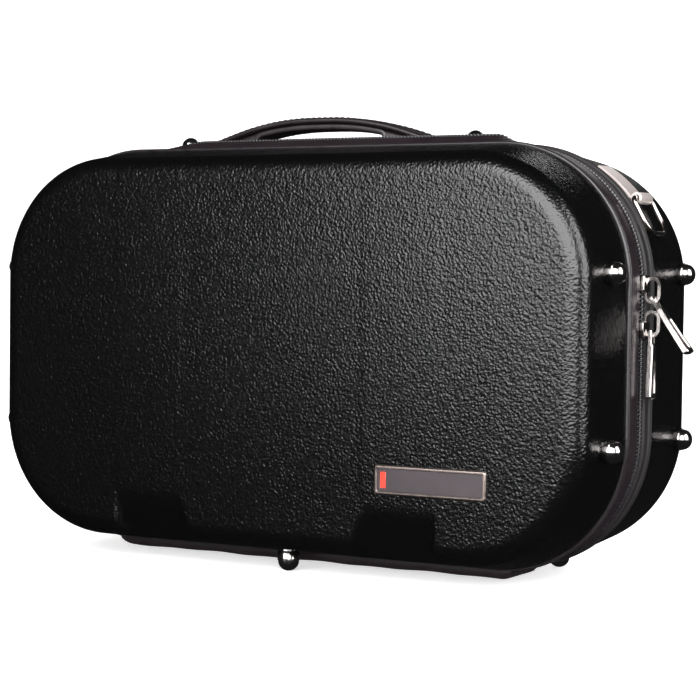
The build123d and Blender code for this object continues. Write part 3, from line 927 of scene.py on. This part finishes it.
    def places(self, at: np.ndarray, out: np.ndarray, along: np.ndarray, depth: float, inset: float,
               across: bool = False) -> tuple[np.ndarray, np.ndarray]:
        """Origins and axes for shapes that repeat round the outline.

        Args:
            at: points on the outline.
            out: their outward normals.
            along: their headings.
            depth: distance from the parting plane.
            inset: distance inside the outline.
            across: the shapes lie across the zip and stand proud of its ridge, instead of along it.
        Returns:
            Origins, and for each the X, Y and Z axes of its shape, Z outwards.
        """
        zeros = np.zeros(len(at))
        spot = at - inset * out
        level = np.full(len(at), self.side.value * depth)
        origins = np.stack([spot[:, 0], level, spot[:, 1] + self.outline.middle_z], axis=1)
        x = np.stack([along[:, 0], zeros, along[:, 1]], axis=1)
        z = np.stack([out[:, 0], zeros, out[:, 1]], axis=1)
        y = np.cross(z, x)
        axes = np.stack([y, -x, z] if across else [x, y, z], axis=1)
        return self.lifted(origins, self.coil_proud if across else 0.0), axes

    def tooth(self) -> tuple[np.ndarray, np.ndarray]:
        """One filament of the coil: its bar across the tape and its thicker head.

        Returns:
            Points and faces.
        """
        bar, bar_quads = pill(*self.bar_size, 8, 6)
        head, head_quads = pill(*self.head_size, 8, 5)
        head = head + np.array([self.head_shift * self.side.value, 0, 0])
        return np.concatenate([bar, head]), np.concatenate([bar_quads, head_quads + len(bar)])

    def zip_half(self, kit: Kit) -> None:
        """Woven tape with the coil's filaments, which alternate with the other half's in the middle.

        Args:
            kit: outline and finishes of the case.
        """
        name = f"{self.side.body}_zip_chain"
        (near, far), (front, back) = self.tape_reach, self.tape_inset
        depth = np.array([near, far, far, near]) * self.side.value
        band = self.lifted(self.outline.sweep(depth, np.array([front, front, back, back])))
        tape = sheet_mesh(f"{name}_tape", band, True, True, 30)
        finish_piece(tape, kit.tape, self.side.body, "zip_nylon", name)
        at, out, along = self.outline.stations(self.pitch, 0.25 if self.side is Side.LID else 0.75)
        keep = ~((at[:, 1] < 0) & (np.abs(at[:, 0]) < self.spine_half + self.spine_gap))
        places = self.places(at[keep], out[keep], along[keep], self.coil_depth, self.coil_inset, True)
        coil = repeated(f"{name}_coil", *self.tooth(), *places)
        finish_piece(coil, kit.coil, self.side.body, "zip_nylon")
        a = np.arange(8) * math.pi / 4
        cord_depth, cord_inset, radius = self.cord
        ring = self.side.value * (cord_depth + radius * np.cos(a)), cord_inset - radius * np.sin(a)
        cord = sheet_mesh(f"{name}_cord", self.lifted(self.outline.sweep(*ring)), True, True)
        finish_piece(cord, kit.thread, self.side.body, "zip_nylon")

    def build(self, kit: Kit) -> None:
        """Make all of the half's trim.

        Args:
            kit: outline and finishes of the case.
        """
        self.beads(kit)
        self.gusset(kit)
        self.zip_half(kit)


@dataclass
class Spine:
    """Vinyl hinge strip under the case, between lid and base."""

    half: float = 112 * MM
    drop: float = 3.2 * MM
    lid_reach: float = 19 * MM
    base_reach: float = 13.5 * MM
    thickness: float = 1.4 * MM
    turn_up: float = 1.2 * MM    # how far its long edges run up the case's sides
    corner: float = 3.0 * MM
    end_length: float = 6 * MM
    fold: tuple[float, float] = (0.5 * MM, 0.7 * MM)   # height and half width of the fold line
    ripple: float = 0.16 * MM
    waves: tuple[float, float] = (210, 97)   # radians to the metre
    bend: Place = (0, 4 * MM, 2.8 * MM)      # X, half width and height of the zone in which it bends

    def build(self, kit: Kit) -> None:
        """Sweep a shallow trough along the case and round its ends.

        Formula: the trough's depth is the drop times the quarter-circle rise at each end, with a small fold
        line and a ripple of two sines.

        Args:
            kit: outline and finishes of the case.
        """
        bottom = -kit.outline.height / 2
        turn = [(-self.lid_reach, bottom + self.turn_up), (-self.lid_reach, bottom - self.drop),
                (self.base_reach, bottom - self.drop), (self.base_reach, bottom + self.turn_up)]
        line = rounded_path(turn, [self.corner, self.corner], 0.8 * MM)
        y, z = line[:, 0], line[:, 1]
        fold = self.fold[0] * np.exp(-(y / self.fold[1]) ** 2)
        x = np.linspace(-self.half, self.half, 150)
        near = np.clip((self.half - np.abs(x)) / self.end_length, 0, 1)
        end = np.sqrt(1 - (1 - near) ** 2)
        ripple = self.ripple * (np.sin(x * self.waves[0]) + np.sin(x * self.waves[1] + 1))
        rise = np.clip((bottom - z) / self.drop, 0, 1)
        outer = bottom - (np.maximum(bottom - z, 0) - fold) * end[:, None] + np.maximum(z - bottom, 0)
        outer = outer + (ripple * end)[:, None] * rise
        inner = np.minimum(outer + self.thickness, bottom + self.thickness)
        shrink = 1 - self.thickness / self.lid_reach
        ring_y = np.concatenate([y, y[::-1] * shrink])
        ring_z = np.concatenate([outer, inner[:, ::-1]], axis=1)
        grid = np.stack(np.broadcast_arrays(x[:, None], ring_y[None], ring_z + kit.outline.middle_z), axis=-1)
        strip = capped_mesh("hinge_spine", grid)
        strip.data.materials.append(kit.hide)
        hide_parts("lid_spine", "base_spine")
        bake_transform(strip)
        log.info("hinge_spine: %d faces", len(strip.data.polygons))


def turned(name: str, profile: list[tuple[float, float]], origin: Vector, axis: Vector,
           around: int = 40) -> bpy.types.Object:
    """Turn a profile about an axis.

    Formula: each (radius, height) point becomes a circle of that radius at that height along the axis.

    Args:
        name: object name.
        profile: radius and height pairs in metres, from one pole to the other.
        origin: point on the axis at height 0.
        axis: unit direction of the axis.
        around: points round each circle.
    Returns:
        The object.
    """
    line = np.array(profile)
    a = np.arange(around) * 2 * math.pi / around
    side = axis.orthogonal().normalized()
    other = axis.cross(side)
    across = np.cos(a)[None, :, None] * np.array(side) + np.sin(a)[None, :, None] * np.array(other)
    points = np.array(origin) + line[:, 1, None, None] * np.array(axis) + line[:, 0, None, None] * across
    return sheet_mesh(name, points, wrap_columns=True)


@dataclass
class Studs:
    """Chromed feet and handle rivets, each turned about its own axis."""

    foot_radius: float = 5.5 * MM
    rivet_radius: float = 5.0 * MM
    root: float = 1.5 * MM       # hidden length inside the shell
    dome_height: float = 4.8 * MM
    rivet_stand: float = 7 * MM
    lid_end_stand: float = 8.7 * MM
    base_end_stand: float = 7.4 * MM
    under_stand: float = 10 * MM

    def profile(self, radius: float, height: float) -> list[tuple[float, float]]:
        """Profile of a stud: hidden root, barrel and an elliptical dome with a fine shoulder.

        Formula: the dome's radius is the barrel's times the cosine of an angle whose sine gives the height.

        Args:
            radius: the barrel's.
            height: how far the stud stands out.
        Returns:
            Radius and height pairs.
        """
        a = np.linspace(0, math.pi / 2, 12)
        barrel = height - self.dome_height
        neck, cap = radius * 0.97, radius * 0.94
        foot = [(0, -self.root), (neck, -self.root), (neck, 0.1 * MM), (radius, 0.3 * MM),
                (radius, barrel - 0.5 * MM), (cap, barrel - 0.2 * MM)]
        return foot + [(cap * math.cos(v), barrel + self.dome_height * math.sin(v)) for v in a]

    def way(self, name: str, middle: Vector) -> tuple[Vector, float]:
        """Direction in which a stud points and how far it stands out.

        Args:
            name: its CAD node.
            middle: middle of that node.
        Returns:
            Unit direction and height.
        """
        if "rivet" in name:
            return Vector((0, 0, 1)), self.rivet_stand
        if "under" in name:
            return Vector((0, 0, -1)), self.under_stand
        stand = self.lid_end_stand if name.startswith("lid") else self.base_end_stand
        return Vector((math.copysign(1, middle.x), 0, 0)), stand

    def build(self, kit: Kit) -> None:
        """Make every foot and rivet where its CAD node is.

        Args:
            kit: outline and finishes of the case.
        """
        for name in sorted(n for n in frame["nodes"] if "_foot_" in n or "rivet" in n):
            low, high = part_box(name)
            middle = (low + high) / 2
            axis, stand = self.way(name, middle)
            tip = Vector([h if a > 0 else lo if a < 0 else m for a, h, lo, m in zip(axis, high, low, middle)])
            radius = self.rivet_radius if "rivet" in name else self.foot_radius
            stud = turned(f"{name}_stud", self.profile(radius, stand), tip - axis * stand, axis)
            finish_piece(stud, kit.stud, "lid" if name.startswith("lid") else "base", "stud_chrome", name)


def tube(name: str, path: np.ndarray, radius: float, flat: Matrix, around: int = 14) -> bpy.types.Object:
    """Round wire along a closed flat path.

    Formula: at each point a circle in the plane of the path's normal and the plane's own normal.

    Args:
        name: object name.
        path: n by 2 points in the plane, in metres, run as a loop.
        radius: wire radius.
        flat: placing of the plane: its X and Y carry the path.
        around: points round the wire.
    Returns:
        The object.
    """
    ahead = np.roll(path, -1, axis=0) - np.roll(path, 1, axis=0)
    ahead /= np.linalg.norm(ahead, axis=1, keepdims=True)
    out = np.stack([ahead[:, 1], -ahead[:, 0]], axis=1)
    a = np.arange(around) * 2 * math.pi / around
    flat_points = path[:, None] + radius * np.cos(a)[None, :, None] * out[:, None]
    height = np.broadcast_to(radius * np.sin(a), flat_points.shape[:2])
    local = np.concatenate([flat_points, height[..., None]], axis=-1)
    turn = np.array(flat.to_3x3())
    return sheet_mesh(name, local @ turn.T + np.array(flat.translation), True, True)


def bevelled_copy(name: str, source: str, width: float, segments: int = 2,
                  angle: float = 28) -> bpy.types.Object:
    """Copy a CAD node, merge its points and round its edges as casting or stamping does.

    Broad faces are shaded flat, because the copy's long triangles would bend the light on them.

    Args:
        name: the new piece.
        source: the CAD node.
        width: size of the rounding in metres.
        segments: faces across the rounding.
        angle: edges sharper than this, in degrees, are rounded.
    Returns:
        The new piece, its modifier applied.
    """
    mesh = frame["nodes"][source].data.copy()
    mesh.name = name
    work = bmesh.new()
    work.from_mesh(mesh)
    bmesh.ops.remove_doubles(work, verts=work.verts, dist=WELD)
    bmesh.ops.dissolve_limit(work, angle_limit=math.radians(2), verts=work.verts, edges=work.edges)
    work.to_mesh(mesh)
    work.free()
    thing = bpy.data.objects.new(name, mesh)
    bpy.context.scene.collection.objects.link(thing)
    bevel = thing.modifiers.new("round", "BEVEL")
    bevel.width, bevel.segments, bevel.limit_method = width, segments, "ANGLE"
    bevel.angle_limit = math.radians(angle)
    bevel.use_clamp_overlap = True
    graph = bpy.context.evaluated_depsgraph_get()
    thing.data = bpy.data.meshes.new_from_object(thing.evaluated_get(graph))
    thing.modifiers.clear()
    thing.data.shade_smooth()
    thing.data.set_sharp_from_angle(angle=math.radians(angle + 8))
    areas = np.empty(len(thing.data.polygons))
    thing.data.polygons.foreach_get("area", areas)
    thing.data.polygons.foreach_set("use_smooth", areas < BROAD)
    return thing


@dataclass
class Handle:
    """Padded carrying handle: a stitched strap over a stuffed grip, riveted at both tabs.

    Local X runs along the handle from its middle, and Z up from the shell's top.
    """

    middle_x: float = -15 * MM
    middle_y: float = 24 * MM
    half: float = 94 * MM
    rise: float = 18.1 * MM
    shoulder: float = 75 * MM
    crown: float = 28 * MM
    strap: float = 3.2 * MM
    strap_width: float = 22 * MM
    grip_width: float = 18 * MM
    finger_half: float = 38 * MM
    finger_rise: float = 11.5 * MM
    finger_corner: float = 4 * MM
    shoulder_bend: float = 38 * MM
    crown_bend: float = 150 * MM
    tab_end: float = 11 * MM     # length over which a tab is rounded
    grip_end: float = 4 * MM     # how far the grip's padding runs past the shoulder
    seam_inset: float = 2.4 * MM
    seam_end: float = 9 * MM
    seam_pitch: float = 3.4 * MM
    seam_sunk: float = 0.05 * MM
    stitch: tuple[float, float, float] = (2.4 * MM, 0.6 * MM, 0.5 * MM)
    pillow: float = 0.35 * MM    # how far the strap swells between its seams

    @property
    def seat(self) -> float:
        """Height of the shell's top under the handle."""
        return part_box("handle_strap")[1].z - self.rise

    def back(self, x: np.ndarray, lowered: float = 0.0) -> np.ndarray:
        """Height of the strap's back above the shell.

        Args:
            x: places along the handle.
            lowered: distance under the back.
        Returns:
            The heights.
        """
        corners = [(-self.half, self.strap), (-self.shoulder, self.strap), (-self.crown, self.rise),
                   (self.crown, self.rise), (self.shoulder, self.strap), (self.half, self.strap)]
        bends = [self.shoulder_bend, self.crown_bend, self.crown_bend, self.shoulder_bend]
        line = rounded_path(corners, bends, 1 * MM)
        return np.interp(x, line[:, 0], line[:, 1]) - lowered

    def arch(self, x: np.ndarray) -> np.ndarray:
        """Height of the grip's underside: it follows the back over the fingers and runs down to the shell.

        Formula: the lowered back less a quarter circle at each end of the finger hole, and 0 beyond.

        Args:
            x: places along the handle.
        Returns:
            The heights.
        """
        corner = np.clip((np.abs(x) - self.finger_half + self.finger_corner) / self.finger_corner, 0, 1)
        over = self.back(x, self.rise - self.finger_rise)
        over = over - self.finger_corner * (1 - np.sqrt(1 - corner ** 2))
        return np.where(np.abs(x) < self.finger_half, over, 0)

    def place(self, x: np.ndarray, y: np.ndarray, z: np.ndarray) -> np.ndarray:
        """Stack local coordinates into row-frame points on the shell's top."""
        return np.stack(np.broadcast_arrays(x + self.middle_x, y + self.middle_y, z + self.seat), axis=-1)

    def strap_grid(self) -> np.ndarray:
        """Grid of the strap's surface.

        Formula: a superellipse (cosine to the power 0.4 across, sine to the power 0.5 upwards) carried along
        the back's height curve, a little pillowed between the seams, its ends narrowed by a rounder ellipse.

        Returns:
            Points, along the handle by around the strap.
        """
        x = np.linspace(-self.half, self.half, 160)
        a = np.arange(36) * 2 * math.pi / 36
        wide = np.sign(np.cos(a)) * np.abs(np.cos(a)) ** 0.4
        thick = np.sign(np.sin(a)) * np.abs(np.sin(a)) ** 0.5
        end = np.sqrt(1 - np.clip((np.abs(x) - self.half + self.tab_end) / self.tab_end, 0, 1) ** 2.6)
        y = wide[None] * self.strap_width / 2 * np.maximum(end, 0.02)[:, None]
        pillow = self.pillow * (1 - np.abs(wide)) * (np.abs(x) < self.shoulder)[:, None]
        middle = (self.back(x) - self.strap / 2)[:, None]
        z = middle + thick[None] * self.strap / 2 * 0.98 + pillow * (thick > 0)
        return self.place(x[:, None], y, z)

    def grip_grid(self) -> np.ndarray:
        """Grid of the grip's surface.

        Formula: a superellipse (cosine and sine to the power 0.45) whose top is the strap's underside and
        whose foot is the finger arch.

        Returns:
            Points, along the handle by around the grip.
        """
        reach = self.shoulder + self.grip_end
        x = np.linspace(-reach, reach, 240)
        a = np.arange(32) * 2 * math.pi / 32
        wide = np.sign(np.cos(a)) * np.abs(np.cos(a)) ** 0.45
        tall = np.sign(np.sin(a)) * np.abs(np.sin(a)) ** 0.45
        top, low = self.back(x, self.strap * 0.9), self.arch(x)
        low = np.minimum(low, top - 0.2 * MM)
        z = ((top + low) / 2)[:, None] + tall[None] * ((top - low) / 2)[:, None]
        return self.place(x[:, None], wide[None] * self.grip_width / 2, z)

    def seams(self, kit: Kit) -> None:
        """Stitch rows along both edges of the strap's back.

        Args:
            kit: outline and finishes of the case.
        """
        x = np.arange(-self.half + self.seam_end, self.half - self.seam_end, self.seam_pitch)
        shape, quads = pill(*self.stitch, 6, 5)
        sunk = self.back(x, self.seam_sunk)
        y = self.strap_width / 2 - self.seam_inset
        origins = np.concatenate([self.place(x, np.full_like(x, edge * y), sunk) for edge in (-1, 1)])
        tilts = np.tile(np.arctan(np.gradient(self.back(x), x)), 2)
        zeros, ones = np.zeros_like(tilts), np.ones_like(tilts)
        along = np.stack([np.cos(tilts), zeros, np.sin(tilts)], axis=1)
        across = np.stack([zeros, ones, zeros], axis=1)
        frames = np.stack([along, across, np.cross(along, across)], axis=1)
        seam = repeated("handle_seams", shape, quads, origins, frames)
        finish_piece(seam, kit.thread, "base", "handle_vinyl")

    def build(self, kit: Kit) -> None:
        """Make strap, grip and seams on the base shell's top wall.

        Args:
            kit: outline and finishes of the case.
        """
        strap = capped_mesh("handle_strap_cover", self.strap_grid())
        finish_piece(strap, kit.pvc, "base", "handle_vinyl", "handle_strap")
        grip = capped_mesh("handle_grip_pad", self.grip_grid())
        finish_piece(grip, kit.hide, "base", "handle_vinyl", "handle_grip")
        self.seams(kit)


@dataclass
class Hardware:
    """Plated castings and wire: strap anchors and rings, zip sliders and pullers."""

    wire: float = 1.25 * MM
    ring_width: float = 23 * MM
    ring_length: float = 19 * MM
    ring_bends: tuple[float, float] = (3 * MM, 8 * MM)     # at the knuckle and at the far side
    anchor_edge: float = 0.3 * MM
    slider_edge: float = 0.28 * MM
    puller_edge: float = 0.22 * MM

    def ring(self, kit: Kit, side: str, sign: int) -> None:
        """Wire ring: a loop with two tight and two wide corners, lying against the case's corner.

        Args:
            kit: outline and finishes of the case.
            side: right or left.
            sign: of that side's X.
        """
        joint = next(j for j in frame["joints"] if j["name"] == f"ring_{side}_swing")
        hinge = np.array(joint["pos_m"])
        low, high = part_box(f"strap_ring_{side}")
        foot_x = (high.x if sign > 0 else low.x) - sign * self.wire
        foot_z = low.z + self.wire
        down = Vector((foot_x - hinge[0], 0, foot_z - hinge[2])).normalized()
        across = Vector((0, 1, 0))
        flat = Matrix((across, down, across.cross(down))).transposed().to_4x4()
        flat.translation = Vector(hinge)
        half = self.ring_width / 2
        corners = [(-half, 0), (half, 0), (half, self.ring_length), (-half, self.ring_length)]
        tight, wide = self.ring_bends
        path = rounded_path(corners, [tight, tight, wide, wide], 0.7 * MM, closed=True)
        ring = tube(f"strap_ring_{side}_wire", path, self.wire, flat)
        finish_piece(ring, kit.nickel, f"ring_{side}", "ring_nickel", f"strap_ring_{side}")

    def build(self, kit: Kit) -> None:
        """Make the rings and round the edges of the cast and stamped pieces.

        Args:
            kit: outline and finishes of the case.
        """
        for side, sign in (("right", 1), ("left", -1)):
            self.ring(kit, side, sign)
            anchor = bevelled_copy(f"strap_anchor_{side}_plate", f"strap_anchor_{side}", self.anchor_edge)
            finish_piece(anchor, kit.satin, "base", "ring_nickel", f"strap_anchor_{side}")
        for level in ("upper", "lower"):
            slider = bevelled_copy(f"slider_{level}_casting", f"slider_{level}", self.slider_edge)
            finish_piece(slider, kit.casting, f"slider_{level}", "slider_metal", f"slider_{level}")
            puller = bevelled_copy(f"puller_{level}_casting", f"puller_{level}", self.puller_edge)
            finish_piece(puller, kit.casting, f"puller_{level}", "puller_metal", f"puller_{level}")


@dataclass
class NamePlate:
    """Bare name plate: a bevelled metal frame round smoky enamel, with one plain coloured bar."""

    rim_edge: float = 0.25 * MM
    enamel_edge: float = 0.12 * MM

    def build(self, kit: Kit) -> None:
        """Round the edges of the three parts and give each its finish.

        Args:
            kit: outline and finishes of the case.
        """
        parts = (("rim", self.rim_edge, kit.bronze, "plate_metal"),
                 ("panel", self.enamel_edge, kit.plaque, "plate_enamel"),
                 ("bar", self.enamel_edge, kit.signal, "bar_enamel"))
        for part, width, material, slot in parts:
            piece = bevelled_copy(f"name_plate_{part}_piece", f"name_plate_{part}", width)
            finish_piece(piece, material, "lid", slot, f"name_plate_{part}")


@dataclass
class Interior:
    """Plush over foam: the fitted insert with its wells, and the padded lining of the lid."""

    front: float = 6 * MM        # insert's front face, behind the parting plane
    floor: float = 60.2 * MM     # floors of the wells
    inset: float = 8.6 * MM      # insert's outer edge inside the rim
    wells: tuple[tuple[float, ...], ...] = (   # centre X and Z, half length, half height, corner, in mm
        (0, 68, 128, 21, 21), (0, -68, 113, 21, 21), (104, 0, 41, 41, 41), (8, 23.5, 49, 17.5, 6),
        (21, -23.5, 36, 17.5, 6), (-91, 0, 44, 38, 6))
    edge: tuple[tuple[float, float], ...] = (  # depth and inset along the block's rolled edge, in mm
        (1.2, 0), (0.5, 0.15), (0.1, 0.45), (0, 0.75))
    lip: tuple[tuple[float, float], ...] = (   # depth and inset along a well's rolled lip, in mm
        (0, -2.8), (0.1, -1.9), (0.4, -1.1), (1.0, -0.45), (1.9, -0.08), (3.2, 0))
    foot: tuple[tuple[float, float], ...] = (  # height over the floor and inset at a well's foot, in mm
        (2.4, 0.1), (0.8, 0.5), (0, 1.6))
    lining_gap: float = 0.7 * MM
    lining_depth: float = 46 * MM
    lining_thickness: float = 0.5 * MM
    lining_start: int = 3        # the lining starts this many rows in from the shell's rim
    pad_rise: float = 1.5 * MM
    pad_half: tuple[float, float] = (150 * MM, 90 * MM)
    pad_crease: float = 1.2 * MM

    def loops(self, kit: Kit, back: float) -> list[np.ndarray]:
        """Grids of the block's edge and of each well's wall.

        Formula: a profile of depths and insets carried round each rounded outline.

        Args:
            kit: outline and finishes of the case.
            back: depth of the block's back.
        Returns:
            One grid for the block and one for each well.
        """
        edge = np.array(self.edge) * MM + np.array([self.front, self.inset])
        edge = np.concatenate([[(back, self.inset)], edge])
        foot = np.array(self.foot) * np.array([-MM, MM]) + np.array([self.floor, 0])
        lip = np.concatenate([np.array(self.lip) * MM + np.array([self.front, 0]), foot])
        grids = [kit.outline.sweep(edge[:, 0], edge[:, 1])]
        for x, z, half_x, half_z, corner in np.array(self.wells) * MM:
            well = Outline(2 * half_x, 2 * half_z, corner, kit.outline.middle_z + z)
            grids.append(well.sweep(lip[:, 0], lip[:, 1]) + np.array([x, 0, 0]))
        return grids

    def insert(self, kit: Kit) -> None:
        """Foam block with softly rolled edges, its wells and the board behind it, as one closed surface.

        Formula: level plates fill the front between the loops, each well's floor and the back.

        Args:
            kit: outline and finishes of the case.
        """
        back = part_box("insert_board")[1].y
        grids = self.loops(kit, back)
        starts = np.cumsum([0] + [g.shape[0] * g.shape[1] for g in grids])
        quads = [grid_quads(*g.shape[:2], wrap_columns=True) + start for g, start in zip(grids, starts)]
        points = np.concatenate([g.reshape(-1, 3) for g in grids])
        foam = mesh_from("insert_foam", points, np.concatenate(quads))
        work = bmesh.new()
        work.from_mesh(foam.data)
        for level in (self.front, self.floor, back):
            rims = [e for e in work.edges
                    if e.is_boundary and all(abs(v.co.y - level) < WELD for v in e.verts)]
            bmesh.ops.triangle_fill(work, use_beauty=True, edges=rims, normal=(0, -1, 0))
        bmesh.ops.recalc_face_normals(work, faces=work.faces)
        work.to_mesh(foam.data)
        work.free()
        foam.data.shade_smooth()
        foam.data.set_sharp_from_angle(angle=math.radians(50))
        finish_piece(foam, kit.plush, "base", "plush_lining", "insert_block", "insert_board")

    def lining(self, kit: Kit, tray: Tray) -> None:
        """Plush lining of the lid: up its side walls and over a crowned pad.

        Formula: the tray's inner skin drawn in a little more, its face held back by a pad whose depth grows
        with the square of the distance from the middle.

        Args:
            kit: outline and finishes of the case.
            tray: the lid's shell.
        """
        rows = tray.skin(tray.wall + self.lining_gap)[self.lining_start:]
        x, z = rows[..., 0], rows[..., 2] - kit.outline.middle_z
        away = np.hypot(x / self.pad_half[0], z / self.pad_half[1])
        pad = self.lining_depth + self.pad_rise * away ** 2
        rows[..., 1] = -smooth_min(-rows[..., 1], pad, self.pad_crease)
        under = rows - np.array([0, self.lining_thickness, 0])
        both = np.concatenate([under[::-1], rows])
        lining = sheet_mesh("lid_lining_pad", both, wrap_columns=True, sharp=60)
        finish_piece(lining, kit.plush, "lid", "plush_lining", "lid_lining")


@dataclass(frozen=True)
class SoftBox:
    """One rectangular soft box that faces a point."""

    name: str
    place: Place
    target: Place
    size: tuple[float, float]    # metres
    power: float                 # watts
    mirrored: bool = True        # whether glossy surfaces mirror it

    def add(self) -> None:
        """Put the light into the scene."""
        data = bpy.data.lights.new(self.name, "AREA")
        data.shape, data.energy = "RECTANGLE", self.power
        data.size, data.size_y = self.size
        lamp = bpy.data.objects.new(self.name, data)
        lamp.location = self.place
        lamp.rotation_mode = "QUATERNION"
        lamp.rotation_quaternion = (Vector(self.target) - Vector(self.place)).to_track_quat("-Z", "Y")
        lamp.visible_glossy = self.mirrored
        bpy.context.scene.collection.objects.link(lamp)


@dataclass
class Studio:
    """Pale floor, soft boxes and the camera."""

    boxes: tuple[SoftBox, ...] = (
        SoftBox("front_wall", (0.55, -1.6, 0.91), (0.55, 0, 0.91), (2.34, 1.6), 97),
        SoftBox("right_wall", (1.4, -0.26, 0.78), (0, -0.26, 0.78), (0.78, 1.44), 24),
        SoftBox("rim_back", (-0.1, 1.35, 0.85), (0.15, 0, 0.18), (0.4, 0.25), 0.5),
        SoftBox("overhead", (0.2, 0.3, 2.6), (0, 0.6, 0), (3.4, 3.4), 70, False),
        SoftBox("backdrop", (0, 1.2, 2.8), (0, 4.2, 1.0), (4.0, 1.2), 80, False))
    place: tuple[float, float, float] = (0.5106, -0.8864, 0.1456)
    forward: tuple[float, float, float] = (-0.5007, 0.8648, -0.0374)
    roll: float = 0.72           # degrees
    focal: float = 104.6         # mm on a 36 mm sensor
    shift: float = 0.0394
    world: Colour = (0.95, 0.96, 1.0, 1)
    world_strength: float = 0.015
    floor_half: float = 30.0
    floor_back: float = 3.0      # where the sweep starts to curve up
    floor_curve: float = 1.2
    floor_top: float = 5.0

    def camera(self) -> None:
        """Set the camera by its place, its forward line and a small roll."""
        ahead = Vector(self.forward).normalized()
        right = ahead.cross(Vector((0, 0, 1))).normalized()
        up = right.cross(ahead)
        turn = math.radians(-self.roll)
        up, right = up * math.cos(turn) + right * math.sin(turn), right * math.cos(turn) - up * math.sin(turn)
        matrix = Matrix((right, up, -ahead)).transposed().to_4x4()
        matrix.translation = Vector(self.place)
        data = bpy.data.cameras.new("camera")
        data.lens, data.sensor_width, data.shift_x = self.focal, 36.0, self.shift   # mm, mm, share
        data.clip_start, data.clip_end = 0.05, 30.0
        view = bpy.data.objects.new("camera", data)
        view.matrix_world = matrix
        bpy.context.scene.collection.objects.link(view)
        bpy.context.scene.camera = view

    def floor(self) -> None:
        """Pale sweep: a floor that curves up behind the object.

        Formula: a level line, then a quarter circle and an upright line, carried sideways.
        """
        a = np.linspace(0, math.pi / 2, 16)
        y = np.concatenate([[-self.floor_half], self.floor_back + self.floor_curve * np.sin(a),
                            [self.floor_back + self.floor_curve]])
        z = np.concatenate([[0.0], self.floor_curve * (1 - np.cos(a)), [self.floor_top]])
        x = np.array([-self.floor_half, self.floor_half])
        grid = np.stack(np.broadcast_arrays(x[None], y[:, None], z[:, None]), axis=-1)
        sweep = sheet_mesh("floor_sweep", grid)
        sweep.visible_glossy = False
        sweep.data.materials.append(PaperSweep().make())

    def build(self) -> None:
        """Make camera, floor, lights and a dim even world."""
        bpy.context.scene.view_settings.view_transform = "Standard"
        self.camera()
        self.floor()
        world = bpy.data.worlds.new("studio")
        world.use_nodes = True
        inputs = world.node_tree.nodes["Background"].inputs
        inputs["Color"].default_value, inputs["Strength"].default_value = self.world, self.world_strength
        bpy.context.scene.world = world
        for box in self.boxes:
            box.add()


def main() -> None:
    """Build every sub-assembly in order."""
    logging.basicConfig(level=logging.INFO, format="%(name)s: %(message)s")
    low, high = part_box("lid_piping")
    outline = Outline(high.x - low.x, high.z - low.z, 66 * MM, (high.z + low.z) / 2)
    kit = Kit(outline)
    lid_rim, base_rim = 16 * MM, 10.5 * MM
    lid_tray = Tray(outline, Side.LID, 55.5 * MM, lid_rim, draft=9.5, crown=0.8 * MM, flats=True)
    lid_tray.build(kit)
    Tray(outline, Side.BASE, 71 * MM, base_rim, draft=3.5, crown=0.0, flats=False).build(kit)
    Rim(outline, Side.LID, 2.6 * MM, lid_rim).build(kit)
    Rim(outline, Side.BASE, 1.6 * MM, base_rim).build(kit)
    Spine().build(kit)
    Studs().build(kit)
    Handle().build(kit)
    Hardware().build(kit)
    NamePlate().build(kit)
    interior = Interior()
    interior.insert(kit)
    interior.lining(kit, lid_tray)
    Studio().build()


if __name__ == "__main__":
    main()
